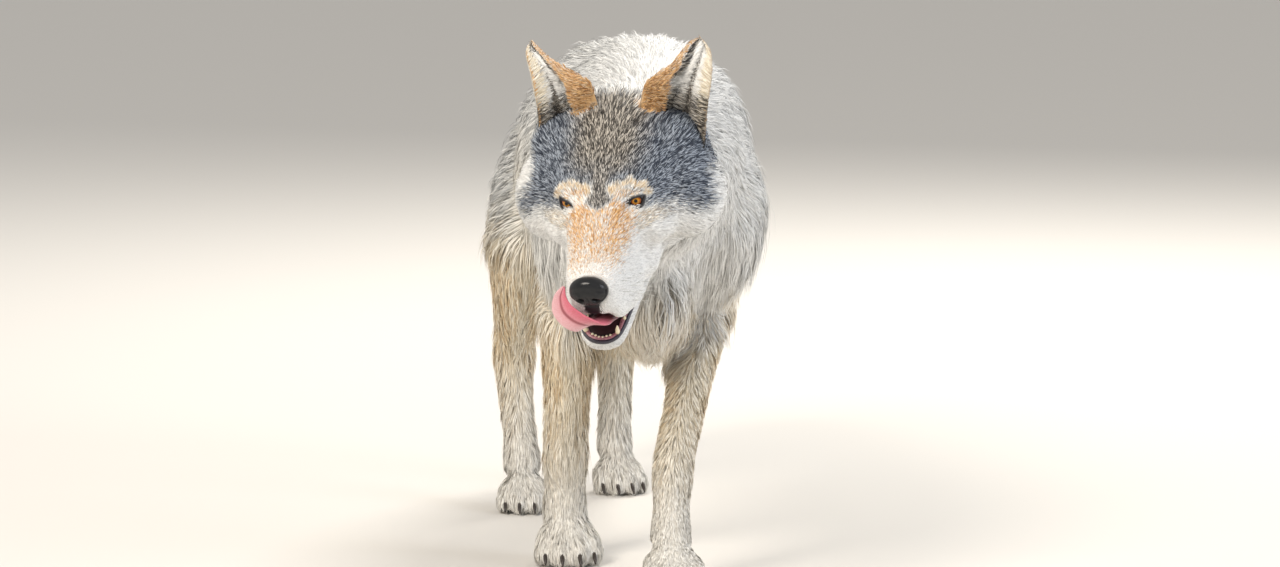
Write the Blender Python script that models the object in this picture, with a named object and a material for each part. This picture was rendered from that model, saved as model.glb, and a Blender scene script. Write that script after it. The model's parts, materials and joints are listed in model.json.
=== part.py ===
"""A grey wolf, life size, walking with its head low and its mouth half open.

The body is modelled whole, as named forms that a voxel remesh flows together, and is then parted
into named solids by cuts of a third of a millimetre. Metres, +Z up. The wolf faces -Y and its left
side is +X. The origin is on the floor, under the middle of the animal's bounding box.
"""

import math

import bmesh
import bpy
import numpy as np
from mathutils import Euler, Matrix, Vector

# ---- driving dimensions, measured to the tips of the coat -------------------------------------
WITHERS_HEIGHT = 0.70
CHEST_DEPTH = 0.365
CHEST_WIDTH = 0.310
GAP = 0.0003  # between neighbouring solids

HEAD_AT = Vector((-0.111, -0.360, 0.526))  # the point midway between the eyeballs
HEAD_YAW, HEAD_PITCH, HEAD_ROLL = -21.5, 27.5, -3.5  # degrees: turned right, nose down, tilted
HALF_EYES = 0.042  # half the distance between the eyeballs' centres
EYE_RADIUS = 0.0118
EYE_FORWARD, EYE_UP = 0.008, 0.007
JAW_HINGE = (-0.030, -0.055)  # forward of the eyes, above the eyes
# Degrees: how far the jaw drops, swings to the wolf's right and tilts.
JAW_OPENING, JAW_SWING, JAW_TILT = 26.0, 3.0, 5.0

VOXEL = 0.0036
# Rounds of smoothing, and the triangles that each region of the body is reduced to.
REGIONS = {"head": (16, 1100), "feet": (3, 660), "rest": (20, 1400)}

COLOURS = {
    "coat_grey": ((0.42, 0.41, 0.39), 0.85),
    "coat_cream": ((0.70, 0.62, 0.48), 0.85),
    "coat_rust": ((0.52, 0.30, 0.12), 0.85),
    "eye_amber": ((0.50, 0.25, 0.04), 0.08),
    "nose_leather": ((0.020, 0.021, 0.026), 0.30),
    "tongue_flesh": ((0.70, 0.24, 0.27), 0.35),
}


# ---- modelling tools --------------------------------------------------------------------------
def clear_scene():
    for obj in list(bpy.data.objects):
        bpy.data.objects.remove(obj)


def made_object(name, bm, smooth=True):
    """A new object holding the bmesh, with its faces turned outwards."""
    bmesh.ops.recalc_face_normals(bm, faces=bm.faces)
    mesh = bpy.data.meshes.new(name)
    bm.to_mesh(mesh)
    bm.free()
    if smooth:
        mesh.shade_smooth()
    obj = bpy.data.objects.new(name, mesh)
    bpy.context.scene.collection.objects.link(obj)
    return obj


def finish(name, obj, colour):
    """Names a finished solid and gives it its material."""
    rgb, roughness = COLOURS[colour]
    material = bpy.data.materials.get(colour) or bpy.data.materials.new(colour)
    material.use_nodes = True
    shader = material.node_tree.nodes["Principled BSDF"]
    shader.inputs["Base Color"].default_value = (*rgb, 1)
    shader.inputs["Roughness"].default_value = roughness
    shader.inputs["Metallic"].default_value = 0.0
    obj.name = obj.data.name = name
    obj.data.materials.clear()
    obj.data.materials.append(material)
    return obj


def apply_modifiers(obj):
    graph = bpy.context.evaluated_depsgraph_get()
    graph.update()
    mesh = bpy.data.meshes.new_from_object(obj.evaluated_get(graph))
    obj.modifiers.clear()
    obj.data = mesh
    return obj


def boolean(obj, other, operation, discard=True):
    """Joins other to obj, or cuts it away, with the exact solver."""
    step = obj.modifiers.new(operation, "BOOLEAN")
    step.operation = operation
    step.solver = "EXACT"
    step.object = other
    apply_modifiers(obj)
    if discard:
        bpy.data.objects.remove(other)
    return obj


def grown(obj, by):
    """A copy of obj whose surface stands out by this much, to cut a clearance with."""
    copy = bpy.data.objects.new(obj.name + "_grown", obj.data.copy())
    copy.matrix_world = obj.matrix_world
    bpy.context.scene.collection.objects.link(copy)
    step = copy.modifiers.new("grow", "DISPLACE")
    step.strength = by
    step.mid_level = 0.0
    return apply_modifiers(copy)


def flowing(stations, steps):
    """Points on the Catmull-Rom curve through rows of numbers, with this many steps to a span."""
    rows = np.array(stations, float)
    rows = np.vstack([2 * rows[0] - rows[1], rows, 2 * rows[-1] - rows[-2]])
    made = []
    for i in range(1, len(rows) - 2):
        a, b, c, d = rows[i - 1 : i + 3]
        for t in np.arange(steps) / steps:
            made.append(
                b
                + 0.5 * t * (c - a)
                + t * t * (a - 2.5 * b + 2 * c - 0.5 * d)
                + t**3 * 0.5 * (3 * b - a - 3 * c + d)
            )
    return np.array(made + [rows[-2]])


def tube(bm, stations, reference, steps=3, sides=20, square=2.0, egg=0.0):
    """Adds a closed tube with an oval section to bm.

    A station is x, y, z, the half width across, and the half depth. The half depth lies in the
    plane of the tube and reference, which a station may give for itself as three more numbers. A
    square above 2 flattens the sides, and egg widens the side that reference points to.
    """
    rows = flowing(stations, steps)
    rings = []
    for i, (x, y, z, wide, deep, *own) in enumerate(rows):
        before, after = rows[max(i - 1, 0)], rows[min(i + 1, len(rows) - 1)]
        along = Vector(after[:3] - before[:3]).normalized()
        across = along.cross(Vector(own or reference)).normalized()
        up = across.cross(along)
        ring = []
        for k in range(sides):
            turn = math.tau * k / sides
            c, s = math.cos(turn), math.sin(turn)
            rx = math.copysign(abs(c) ** (2 / square), c) * max(wide, 0.002) * (1 + egg * s)
            ry = math.copysign(abs(s) ** (2 / square), s) * max(deep, 0.002)
            ring.append(bm.verts.new(Vector((x, y, z)) + across * rx + up * ry))
        rings.append(ring)
    for one, other in zip(rings, rings[1:]):
        for k in range(sides):
            after = (k + 1) % sides
            bm.faces.new((one[k], one[after], other[after], other[k]))
    bm.faces.new(rings[0])
    bm.faces.new(reversed(rings[-1]))


def lump(bm, centre, radii, turn=(0, 0, 0), detail=4):
    """Adds an ellipsoid to bm, turned by these degrees about X, Y and Z."""
    shape = (
        Matrix.Translation(centre)
        @ Euler([math.radians(t) for t in turn]).to_matrix().to_4x4()
        @ Matrix.Diagonal((*radii, 1))
    )
    bmesh.ops.create_icosphere(bm, subdivisions=detail, radius=1.0, matrix=shape)


def moved(bm, matrix):
    bmesh.ops.transform(bm, matrix=matrix, verts=bm.verts)
    return bm


def merged(parts):
    """One bmesh holding all of these, whose forms may overlap."""
    whole = bmesh.new()
    for part in parts:
        mesh = bpy.data.meshes.new("part")
        part.to_mesh(mesh)
        part.free()
        whole.from_mesh(mesh)
        bpy.data.meshes.remove(mesh)
    return whole


# ---- trunk, neck and tail ---------------------------------------------------------------------
def trunk_forms():
    """Deep narrow chest, level back, tucked belly and a sloping croup."""
    top, depth, wide = WITHERS_HEIGHT, CHEST_DEPTH / 2, CHEST_WIDTH / 2
    # along the body, aside to the left, how far the back lies below the withers, and half width
    # and half depth as shares of the chest's
    profile = [
        (-0.145, 0.000, 0.135, 0.28, 0.22),
        (-0.115, 0.000, 0.075, 0.60, 0.58),
        (-0.060, 0.000, 0.022, 0.81, 0.86),
        (0.010, 0.000, 0.003, 0.93, 0.98),
        (0.080, 0.001, 0.000, 0.97, 1.00),
        (0.200, 0.010, 0.025, 0.95, 0.93),
        (0.340, 0.026, 0.044, 0.87, 0.81),
        (0.460, 0.040, 0.050, 0.74, 0.70),
        (0.560, 0.044, 0.055, 0.70, 0.63),
        (0.650, 0.044, 0.070, 0.60, 0.53),
        (0.705, 0.042, 0.098, 0.43, 0.36),
        (0.735, 0.040, 0.140, 0.20, 0.16),
    ]
    bm = bmesh.new()
    stations = [
        (x, y, top - drop - depth * deep, wide * half, depth * deep)
        for y, x, drop, half, deep in profile
    ]
    tube(bm, stations, (0, 0, 1), steps=2, sides=28, square=2.1, egg=0.06)
    lump(bm, (0.000, 0.020, 0.375), (0.058, 0.180, 0.092))  # long fur under the breastbone
    lump(bm, (0.012, 0.230, 0.385), (0.070, 0.180, 0.080))  # and under the belly
    return bm


def neck_forms():
    """Thick furred neck, nearly level, that bends towards the wolf's right."""
    stations = [
        (0.000, 0.070, 0.540, 0.138, 0.150),
        (-0.004, -0.020, 0.553, 0.134, 0.148),
        (-0.026, -0.120, 0.556, 0.125, 0.134),
        (-0.056, -0.205, 0.554, 0.120, 0.120),
        (-0.080, -0.270, 0.550, 0.112, 0.106),
        (-0.090, -0.300, 0.548, 0.095, 0.088),
    ]
    bm = bmesh.new()
    tube(bm, stations, (0, 0, 1), steps=3, sides=24, egg=-0.04)
    lump(bm, (-0.020, -0.110, 0.470), (0.085, 0.060, 0.075))  # breast fur under the throat
    return bm


TAIL = [
    (0.042, 0.672, 0.598, 0.034, 0.034),
    (0.041, 0.735, 0.572, 0.035, 0.035),
    (0.040, 0.785, 0.515, 0.042, 0.044),
    (0.038, 0.815, 0.440, 0.052, 0.054),
    (0.036, 0.830, 0.358, 0.055, 0.058),
    (0.034, 0.840, 0.280, 0.045, 0.047),
    (0.032, 0.852, 0.222, 0.023, 0.024),
    (0.032, 0.860, 0.196, 0.006, 0.006),
]


def tail_forms():
    """Bushy tail that hangs relaxed behind the hocks."""
    bm = bmesh.new()
    tube(bm, TAIL, (0, 1, 0), steps=3, sides=18)
    return bm


# ---- legs -------------------------------------------------------------------------------------
# A joint is x, y, z, the half width across and the half depth fore and aft.
FORELEGS = {
    "left": [
        (0.060, 0.060, 0.640, 0.040, 0.060),
        (0.090, -0.050, 0.500, 0.058, 0.078),
        (0.090, -0.010, 0.430, 0.050, 0.075),
        (0.086, 0.030, 0.365, 0.040, 0.054),
        (0.070, 0.012, 0.305, 0.035, 0.044),
        (0.043, -0.040, 0.220, 0.029, 0.033),
        (0.024, -0.072, 0.160, 0.029, 0.031),
        (0.018, -0.086, 0.105, 0.025, 0.026),
        (0.015, -0.100, 0.055, 0.029, 0.030),
    ],
    "right": [
        (-0.060, 0.060, 0.640, 0.040, 0.060),
        (-0.092, -0.040, 0.500, 0.058, 0.078),
        (-0.094, 0.010, 0.430, 0.050, 0.075),
        (-0.092, 0.050, 0.368, 0.040, 0.054),
        (-0.091, 0.070, 0.305, 0.035, 0.044),
        (-0.090, 0.094, 0.220, 0.029, 0.033),
        (-0.089, 0.108, 0.160, 0.029, 0.031),
        (-0.088, 0.120, 0.105, 0.025, 0.026),
        (-0.088, 0.122, 0.055, 0.029, 0.030),
    ],
}
HINDLEGS = {
    "left": [
        (0.084, 0.600, 0.570, 0.056, 0.085),
        (0.096, 0.600, 0.500, 0.058, 0.106),
        (0.095, 0.578, 0.430, 0.054, 0.094),
        (0.092, 0.580, 0.370, 0.042, 0.068),
        (0.087, 0.640, 0.300, 0.033, 0.048),
        (0.082, 0.712, 0.240, 0.026, 0.036),
        (0.080, 0.738, 0.200, 0.026, 0.034),
        (0.078, 0.734, 0.140, 0.022, 0.026),
        (0.076, 0.724, 0.090, 0.022, 0.024),
        (0.075, 0.712, 0.052, 0.026, 0.028),
    ],
    "right": [
        (-0.004, 0.600, 0.570, 0.056, 0.085),
        (-0.036, 0.580, 0.500, 0.060, 0.106),
        (-0.072, 0.535, 0.430, 0.056, 0.096),
        (-0.090, 0.510, 0.372, 0.044, 0.072),
        (-0.089, 0.545, 0.300, 0.034, 0.050),
        (-0.086, 0.596, 0.235, 0.027, 0.036),
        (-0.085, 0.612, 0.195, 0.026, 0.034),
        (-0.083, 0.600, 0.140, 0.022, 0.026),
        (-0.081, 0.582, 0.090, 0.022, 0.024),
        (-0.080, 0.565, 0.052, 0.026, 0.028),
    ],
}
# Where the middle of each foot stands, its heading in degrees to the wolf's left, and its size.
PAWS = {
    "fore_left": ((0.014, -0.112), -3, 1.00),
    "fore_right": ((-0.088, 0.110), -3, 1.00),
    "hind_left": ((0.075, 0.700), 4, 0.90),
    "hind_right": ((-0.080, 0.553), -4, 0.90),
}
# A toe of a full-size foot: offset to the left, reach forward, and how far out it points.
TOES = [(-0.0290, 0.026, -11), (-0.0102, 0.042, -3), (0.0102, 0.042, 3), (0.0290, 0.026, 11)]
TOE_RADIUS = 0.0132
PAD_PRESS = 0.0035


def leg_forms():
    bm = bmesh.new()
    for joints in (*FORELEGS.values(), *HINDLEGS.values()):
        tube(bm, joints, (0, -1, 0), steps=3, sides=16)
    return bm


def paw_frame(name):
    """Turns a foot's own frame, toes to -Y, into the body's, its pads pressed into the floor."""
    (x, y), heading, size = PAWS[name]
    turn = Matrix.Rotation(math.radians(heading), 4, "Z")
    return Matrix.Translation((x, y, -PAD_PRESS)) @ turn @ Matrix.Scale(size, 4)


def paw_forms(name):
    """Broad wolf's foot: a heel pad, a knuckled arch and four arched toes."""
    bm = bmesh.new()
    lump(bm, (0, 0.006, 0.022), (0.036, 0.032, 0.024))
    lump(bm, (0, -0.004, 0.040), (0.034, 0.028, 0.022), turn=(-24, 0, 0))
    for offset, reach, splay in TOES:
        out = math.radians(splay)
        tip = (offset + reach * 0.5 * math.sin(out), -reach)
        toe = [
            (offset * 0.80, 0.004, 0.038, 0.0120, 0.0120),
            (offset * 0.95, -reach * 0.45, 0.036, TOE_RADIUS, 0.0150),
            (tip[0], tip[1], 0.021, TOE_RADIUS, 0.0165),
            (tip[0] * 1.03, tip[1] - 0.0125, 0.013, 0.0112, 0.0130),
            (tip[0] * 1.04, tip[1] - 0.0190, 0.010, 0.0060, 0.0070),
        ]
        tube(bm, toe, (0, 0, 1), steps=2, sides=10)
    return moved(bm, paw_frame(name))


def claw_forms(name):
    """Four blunt curved claws, one at the end of each toe."""
    bm = bmesh.new()
    for offset, reach, splay in TOES:
        tip = (offset + reach * 0.5 * math.sin(math.radians(splay))) * 1.03
        start = -reach - 0.006
        claw = [
            (tip, start, 0.0190, 0.0038, 0.0048),
            (tip * 1.02, start - 0.015, 0.0155, 0.0032, 0.0042),
            (tip * 1.04, start - 0.022, 0.0075, 0.0012, 0.0014),
        ]
        tube(bm, claw, (0, 0, 1), steps=1, sides=6)
    return moved(bm, paw_frame(name))


# ---- head -------------------------------------------------------------------------------------
HEAD = (
    Matrix.Translation(HEAD_AT)
    @ Matrix.Rotation(math.radians(HEAD_YAW), 4, "Z")
    @ Matrix.Rotation(math.radians(HEAD_PITCH), 4, "X")
    @ Matrix.Rotation(math.radians(HEAD_ROLL), 4, "Y")
)


def jaw_frame():
    """Turns the closed jaw about its hinge: open, aside, and tilted."""
    forward, up = JAW_HINGE
    hinge = Matrix.Translation((0, -forward, up))
    opened = Matrix.Rotation(math.radians(JAW_OPENING), 4, "X")
    swung = Matrix.Rotation(math.radians(-JAW_SWING), 4, "Z")
    tilted = Matrix.Rotation(math.radians(JAW_TILT), 4, "Y")
    return hinge @ opened @ swung @ tilted @ hinge.inverted()


def head_stations(rows):
    """Stations from rows of forward, bottom, top and half width, in the head's own frame."""
    return [(0, -f, (low + high) / 2, wide, (high - low) / 2) for f, low, high, wide in rows]


def skull_forms():
    """Long tapering muzzle, shallow stop, broad forehead and wide furred cheeks."""
    muzzle = [
        (0.000, -0.066, 0.018, 0.054),
        (0.030, -0.069, 0.010, 0.0480),
        (0.055, -0.078, -0.001, 0.0435),
        (0.080, -0.083, -0.009, 0.0400),
        (0.105, -0.085, -0.015, 0.0365),
        (0.126, -0.084, -0.020, 0.0300),
        (0.139, -0.078, -0.027, 0.0190),
    ]
    cranium = [
        (0.044, -0.050, 0.004, 0.034),
        (0.014, -0.062, 0.028, 0.060),
        (-0.020, -0.074, 0.048, 0.086),
        (-0.060, -0.084, 0.062, 0.107),
        (-0.100, -0.090, 0.070, 0.116),
        (-0.140, -0.088, 0.070, 0.112),
        (-0.180, -0.080, 0.064, 0.092),
    ]
    bm = bmesh.new()
    tube(bm, head_stations(muzzle), (0, 0, 1), steps=3, sides=24, square=2.5)
    tube(bm, head_stations(cranium), (0, 0, 1), steps=3, sides=24, square=2.1)
    for side in (-1, 1):
        lump(bm, (side * 0.034, 0.006, 0.015), (0.032, 0.027, 0.020))  # brow over the eye
        lump(bm, (side * 0.050, 0.018, -0.030), (0.036, 0.052, 0.036))  # cheek bone
        lump(bm, (side * 0.080, 0.070, -0.032), (0.052, 0.066, 0.060))  # jaw muscle and ruff
        lump(bm, (side * 0.066, 0.098, 0.024), (0.048, 0.044, 0.040))  # root of the ear
        lump(bm, (side * 0.0250, -0.098, -0.078), (0.0120, 0.034, 0.0260), turn=(-6, 0, 0))  # lip
        lump(bm, (side * 0.0350, -0.062, -0.076), (0.0120, 0.050, 0.0260), turn=(7, 0, 0))
        lump(bm, (side * 0.0430, -0.008, -0.074), (0.0160, 0.036, 0.0280))  # corner of the mouth
    return moved(bm, HEAD)


def jaw_forms():
    """Lower jaw and chin, opened about the hinge."""
    jaw = [
        (-0.060, -0.116, -0.066, 0.070),
        (-0.020, -0.114, -0.070, 0.058),
        (0.020, -0.108, -0.072, 0.048),
        (0.060, -0.102, -0.073, 0.0405),
        (0.095, -0.100, -0.072, 0.0345),
        (0.117, -0.098, -0.071, 0.0285),
        (0.130, -0.090, -0.072, 0.0165),
    ]
    bm = bmesh.new()
    tube(bm, head_stations(jaw), (0, 0, 1), steps=3, sides=20, square=2.3)
    return moved(bm, HEAD @ jaw_frame())


def curve_point(start, bend, end, t):
    return start * (1 - t) ** 2 + bend * 2 * t * (1 - t) + end * t**2


def ear(side, spread, lift):
    """Upright rounded triangle of an ear, hollow towards the front and the outside."""

    def at(forward, out, up):
        return Vector((side * out, -forward, up))

    inner = (at(-0.112, 0.030, 0.048), at(-0.110, 0.049, 0.116), at(-0.146, 0.096, 0.133 + lift))
    outer = (
        at(-0.088, 0.106, 0.000),
        at(-0.112, 0.118 + spread, 0.070),
        at(-0.148, 0.118, 0.126 + lift),
    )
    tip = at(-0.150, 0.108, 0.137 + lift)
    facing = at(0.86, 0.42, 0.20).normalized()  # the way the hollow looks
    rows, columns, thick, hollow = 8, 6, 0.0060, 0.36
    bm = bmesh.new()
    layers = []
    for offset in (0.5, -0.5):
        grid = []
        for i in range(rows):
            t = i / (rows - 1)
            one, other = curve_point(*inner, t), curve_point(*outer, t)
            wide = (other - one).length
            row = []
            for k in range(columns + 1):
                u = k / columns
                bow = 1 - abs(2 * u - 1) ** 2.2
                point = one.lerp(other, u) - facing * (hollow * wide * bow * (1 - 0.3 * t))
                shell = thick * (0.40 + 0.60 * bow) * (1 - 0.35 * t)
                row.append(bm.verts.new(point + facing * shell * offset))
            grid.append(row)
        grid.append([bm.verts.new(tip + facing * thick * 0.2 * offset)] * (columns + 1))
        layers.append(grid)
    front, back = layers

    def skin(a, b, c, d):
        corners = list(dict.fromkeys((a, b, c, d)))
        bm.faces.new(corners)

    for i in range(rows):
        for k in range(columns):
            skin(front[i][k], front[i][k + 1], front[i + 1][k + 1], front[i + 1][k])
            skin(back[i][k], back[i + 1][k], back[i + 1][k + 1], back[i][k + 1])
        for k in (0, columns):
            skin(front[i][k], front[i + 1][k], back[i + 1][k], back[i][k])
    for k in range(columns):
        skin(front[0][k], back[0][k], back[0][k + 1], front[0][k + 1])
    return made_object("ear", moved(bm, HEAD))


def eye(side):
    bm = bmesh.new()
    lump(bm, (side * HALF_EYES, -EYE_FORWARD, EYE_UP), (EYE_RADIUS,) * 3, detail=3)
    return made_object("eye", moved(bm, HEAD))


def eye_opening(side):
    """The almond between the lids, through which the front of the eyeball shows."""
    bm = bmesh.new()
    centre = (side * HALF_EYES * 1.06, -EYE_FORWARD - 0.015, EYE_UP + 0.001)
    lump(bm, centre, (0.0150, 0.0135, 0.0085), (0, side * -14, side * 24), 2)
    return made_object("opening", moved(bm, HEAD))


def nose():
    """Bare nose pad with two comma-shaped nostrils."""
    bm = bmesh.new()
    lump(bm, (0, -0.1390, -0.0405), (0.0240, 0.0140, 0.0205), (14, 0, 0), 3)
    pad = made_object("nose", moved(bm, HEAD))
    for side in (-1, 1):
        bm = bmesh.new()
        lump(bm, (side * 0.0105, -0.1515, -0.0435), (0.0042, 0.0075, 0.0050), (0, side * 30, 0), 1)
        boolean(pad, made_object("nostril", moved(bm, HEAD)), "DIFFERENCE")
    return pad


def tongue():
    """Tongue that rises from the jaw, leaves the mouth under the nose and curls up to its right."""
    # Each station also says which way its upper face looks.
    path = [
        (0.006, 0.010, -0.100, 0.0180, 0.0050, 0.0, 0.0, 1.0),
        (0.004, -0.040, -0.112, 0.0185, 0.0050, 0.0, 0.0, 1.0),
        (0.002, -0.080, -0.109, 0.0180, 0.0048, 0.0, 0.0, 1.0),
        (0.000, -0.110, -0.099, 0.0165, 0.0045, 0.0, 0.1, 1.0),
        (-0.001, -0.130, -0.090, 0.0160, 0.0042, 0.1, 0.5, 0.9),
        (-0.010, -0.142, -0.084, 0.0160, 0.0038, 0.1, 1.0, 0.4),
        (-0.023, -0.146, -0.076, 0.0165, 0.0035, 0.1, 1.0, 0.0),
        (-0.034, -0.144, -0.063, 0.0150, 0.0032, 0.1, 1.0, 0.0),
        (-0.036, -0.140, -0.047, 0.0085, 0.0028, 0.1, 1.0, 0.0),
        (-0.031, -0.137, -0.034, 0.0030, 0.0018, 0.1, 1.0, 0.0),
    ]
    bm = bmesh.new()
    tube(bm, path, (0, 0, 1), steps=2, sides=10)
    return made_object("tongue", moved(bm, HEAD))


def tooth(where, length, radius, lean, frame):
    """A slightly curved conical tooth. A negative length points down."""
    x, y, z = where
    root = -0.3 * length
    cone = [
        (x, y, z + root, radius, radius),
        (x, y - lean * 0.3, z + length * 0.5, radius * 0.8, radius * 0.8),
        (x, y + lean * 0.3, z + length, radius * 0.15, radius * 0.15),
    ]
    bm = bmesh.new()
    tube(bm, cone, (0, -1, 0), steps=1, sides=6)
    return made_object("tooth", moved(bm, frame))


def teeth():
    """Canines and incisors of both jaws."""
    lower = HEAD @ jaw_frame()
    made = []
    for side in (-1, 1):
        made.append(tooth((side * 0.0195, -0.111, -0.074), 0.0190, 0.0036, 0.004, lower))
        made.append(tooth((side * 0.0150, -0.104, -0.080), -0.0140, 0.0038, -0.004, HEAD))
        for k in range(3):
            across = side * (0.0025 + 0.0045 * k)
            made.append(tooth((across, -0.1205 + 0.002 * k, -0.074), 0.0052, 0.0020, 0, lower))
    return made


# ---- the cuts that part the body --------------------------------------------------------------
def plate(centre, normal, along, reach, half_width):
    """A rectangle as thick as the gap between two solids, its length lying near along."""
    normal = Vector(normal).normalized()
    side = normal.cross(Vector(along)).normalized()
    length = side.cross(normal)
    turn = Matrix((length, side, normal)).transposed().to_4x4()
    size = Matrix.Diagonal((2 * reach, 2 * half_width, GAP, 1))
    bm = bmesh.new()
    bmesh.ops.create_cube(bm, size=1.0, matrix=Matrix.Translation(centre) @ turn @ size)
    return made_object("cut", bm, smooth=False)


def head_point(forward, left, up):
    return HEAD @ Vector((left, -forward, up))


def head_way(forward, left, up):
    return HEAD.to_3x3() @ Vector((left, -forward, up))


def body_cuts():
    """Centre, normal, length direction, half length and half width of each cut."""
    sideways = (1, 0, 0)
    cuts = [
        (head_point(-0.130, 0, -0.010), head_way(0.96, 0, 0.28), head_way(0, 1, 0), 0.16, 0.17),
        (Vector((-0.010, -0.065, 0.570)), (0.10, -0.88, 0.46), sideways, 0.24, 0.22),
        (Vector((0.010, 0.330, 0.520)), (0, 1, 0), sideways, 0.22, 0.22),
        (Vector((0.040, 0.755, 0.542)), (0, 0.932, -0.362), sideways, 0.07, 0.094),
        (head_point(-0.009, 0, -0.110), head_way(-0.196, 0, 0.981), head_way(0, 1, 0), 0.10, 0.055),
    ]
    for side in ("left", "right"):
        fore, hind = FORELEGS[side], HINDLEGS[side]
        elbow = between(fore[3], fore[4], 0.90)
        cuts += [
            (elbow, (math.copysign(0.62, -elbow.x), 0, 0.785), sideways, 0.078, 0.075),
            (Vector(fore[6][:3]) - Vector((0, 0, 0.022)), (0, 0, 1), sideways, 0.05, 0.05),
            (Vector((hind[3][0], hind[3][1] + 0.012, 0.392)), (0, 0, 1), sideways, 0.08, 0.11),
            (Vector(hind[6][:3]) + Vector((0, -0.010, 0.030)), (0, -0.5, 0.87), sideways, 0.05, 0.055),
            (between(hind[7], hind[8], 0.75), (0, 0, 1), sideways, 0.045, 0.045),
        ]
    return cuts


def between(a, b, share):
    return Vector(a[:3]).lerp(Vector(b[:3]), share)


# The middle of each solid that the cuts leave, by which it gets its name.
def node_places():
    places = {
        "head": head_point(-0.02, 0, 0.0),
        "lower_jaw": HEAD @ jaw_frame() @ Vector((0, -0.06, -0.085)),
        "neck": Vector((-0.020, -0.160, 0.560)),
        "chest": Vector((0, 0.080, 0.520)),
        "hindquarters": Vector((0.020, 0.520, 0.520)),
        "tail": Vector((0.022, 0.820, 0.420)),
    }
    for side in ("left", "right"):
        fore, hind = FORELEGS[side], HINDLEGS[side]
        places[f"foreleg_{side}"] = Vector(fore[5][:3])
        places[f"forepaw_{side}"] = Vector(fore[8][:3])
        places[f"gaskin_{side}"] = Vector(hind[4][:3])
        places[f"hock_{side}"] = Vector(hind[6][:3]) + Vector((0, 0, -0.02))
        places[f"hindpaw_{side}"] = Vector(hind[9][:3]) + Vector((0, -0.01, -0.01))
    return places


NODE_COLOURS = {"foreleg": "coat_cream", "forepaw": "coat_cream", "hock": "coat_cream"}


def flesh():
    """The whole furred body as one smooth closed mesh."""
    parts = [trunk_forms(), neck_forms(), tail_forms(), leg_forms(), skull_forms(), jaw_forms()]
    parts += [paw_forms(name) for name in PAWS]
    body = made_object("flesh", merged(parts))
    step = body.modifiers.new("flow", "REMESH")
    step.mode = "VOXEL"
    step.voxel_size = VOXEL
    apply_modifiers(body)
    for region, (rounds, _) in REGIONS.items():
        mark(body, region)
        step = body.modifiers.new("smooth", "SMOOTH")
        step.factor = 0.5
        step.iterations = rounds
        step.vertex_group = region
        apply_modifiers(body)
    return body


def region_of(point):
    local = HEAD.inverted() @ point
    if local.y < 0.11 and abs(local.x) < 0.16 and abs(local.z) < 0.20:
        return "head"
    return "feet" if point.z < 0.070 else "rest"


def mark(body, region):
    """Puts the vertices of one region in a group of that name."""
    body.vertex_groups.clear()
    group = body.vertex_groups.new(name=region)
    chosen = [v.index for v in body.data.vertices if region_of(v.co) == region]
    group.add(chosen, 1.0, "REPLACE")
    return len(chosen)


def lighten(body):
    """Reduces each region's mesh to its budget of triangles."""
    for region, (_, budget) in REGIONS.items():
        now = 2 * mark(body, region)
        total = sum(len(face.vertices) - 2 for face in body.data.polygons)
        step = body.modifiers.new("lighten", "DECIMATE")
        step.ratio = (total - now + budget) / total
        step.vertex_group = region
        step.use_collapse_triangulate = True
        apply_modifiers(body)
    body.vertex_groups.clear()


def floor_cutter():
    bm = bmesh.new()
    bmesh.ops.create_cube(bm, size=3.0, matrix=Matrix.Translation((0, 0, -1.5)))
    return made_object("floor", bm, smooth=False)


def part_body(body):
    """Makes the thin cuts and gives each solid that they leave its name."""
    for cut in body_cuts():
        boolean(body, plate(*cut), "DIFFERENCE")
    bpy.context.view_layer.objects.active = body
    body.select_set(True)
    bpy.ops.object.mode_set(mode="EDIT")
    bpy.ops.mesh.separate(type="LOOSE")
    bpy.ops.object.mode_set(mode="OBJECT")
    pieces = [o for o in bpy.data.objects if o.name.startswith("flesh")]
    places = node_places()
    if len(pieces) != len(places):
        raise RuntimeError(f"the cuts left {len(pieces)} solids, not {len(places)}")
    for name, place in places.items():
        nearest = min(pieces, key=lambda o: (middle(o) - place).length)
        pieces.remove(nearest)
        finish(name, nearest, NODE_COLOURS.get(name.split("_")[0], "coat_grey"))


def middle(obj):
    corners = [Vector(corner) for corner in obj.bound_box]
    return sum(corners, Vector()) / len(corners)


def centre_on_origin():
    """Moves every solid so that the origin lies under the middle of the whole animal."""
    solids = [o for o in bpy.context.scene.objects if o.type == "MESH"]
    corners = [o.matrix_world @ v.co for o in solids for v in o.data.vertices]
    low = Vector([min(c[i] for c in corners) for i in range(3)])
    high = Vector([max(c[i] for c in corners) for i in range(3)])
    shift = Vector((-(low.x + high.x) / 2, -(low.y + high.y) / 2, -low.z))
    for solid in solids:
        solid.data.transform(Matrix.Translation(shift))
    return shift


def main():
    clear_scene()
    body = flesh()
    lighten(body)
    boolean(body, floor_cutter(), "DIFFERENCE")
    claws = made_object("claws", merged([claw_forms(name) for name in PAWS]))
    boolean(body, claws, "UNION")
    ears = {"left": ear(1, 0.018, -0.002), "right": ear(-1, -0.004, 0.000)}
    for side, one in ears.items():
        boolean(one, grown(body, GAP), "DIFFERENCE")
        finish(f"ear_{side}", one, "coat_rust")
    for side, sign in (("left", 1), ("right", -1)):
        ball = eye(sign)
        boolean(body, eye_opening(sign), "DIFFERENCE")
        boolean(body, grown(ball, GAP), "DIFFERENCE")
        finish(f"eye_{side}", ball, "eye_amber")
    pad = nose()
    boolean(body, grown(pad, GAP), "DIFFERENCE")
    finish("nose", pad, "nose_leather")
    for one in teeth():
        boolean(body, one, "UNION")
    licking = tongue()
    boolean(body, grown(licking, GAP), "DIFFERENCE")
    finish("tongue", licking, "tongue_flesh")
    part_body(body)
    centre_on_origin()


main()
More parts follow.
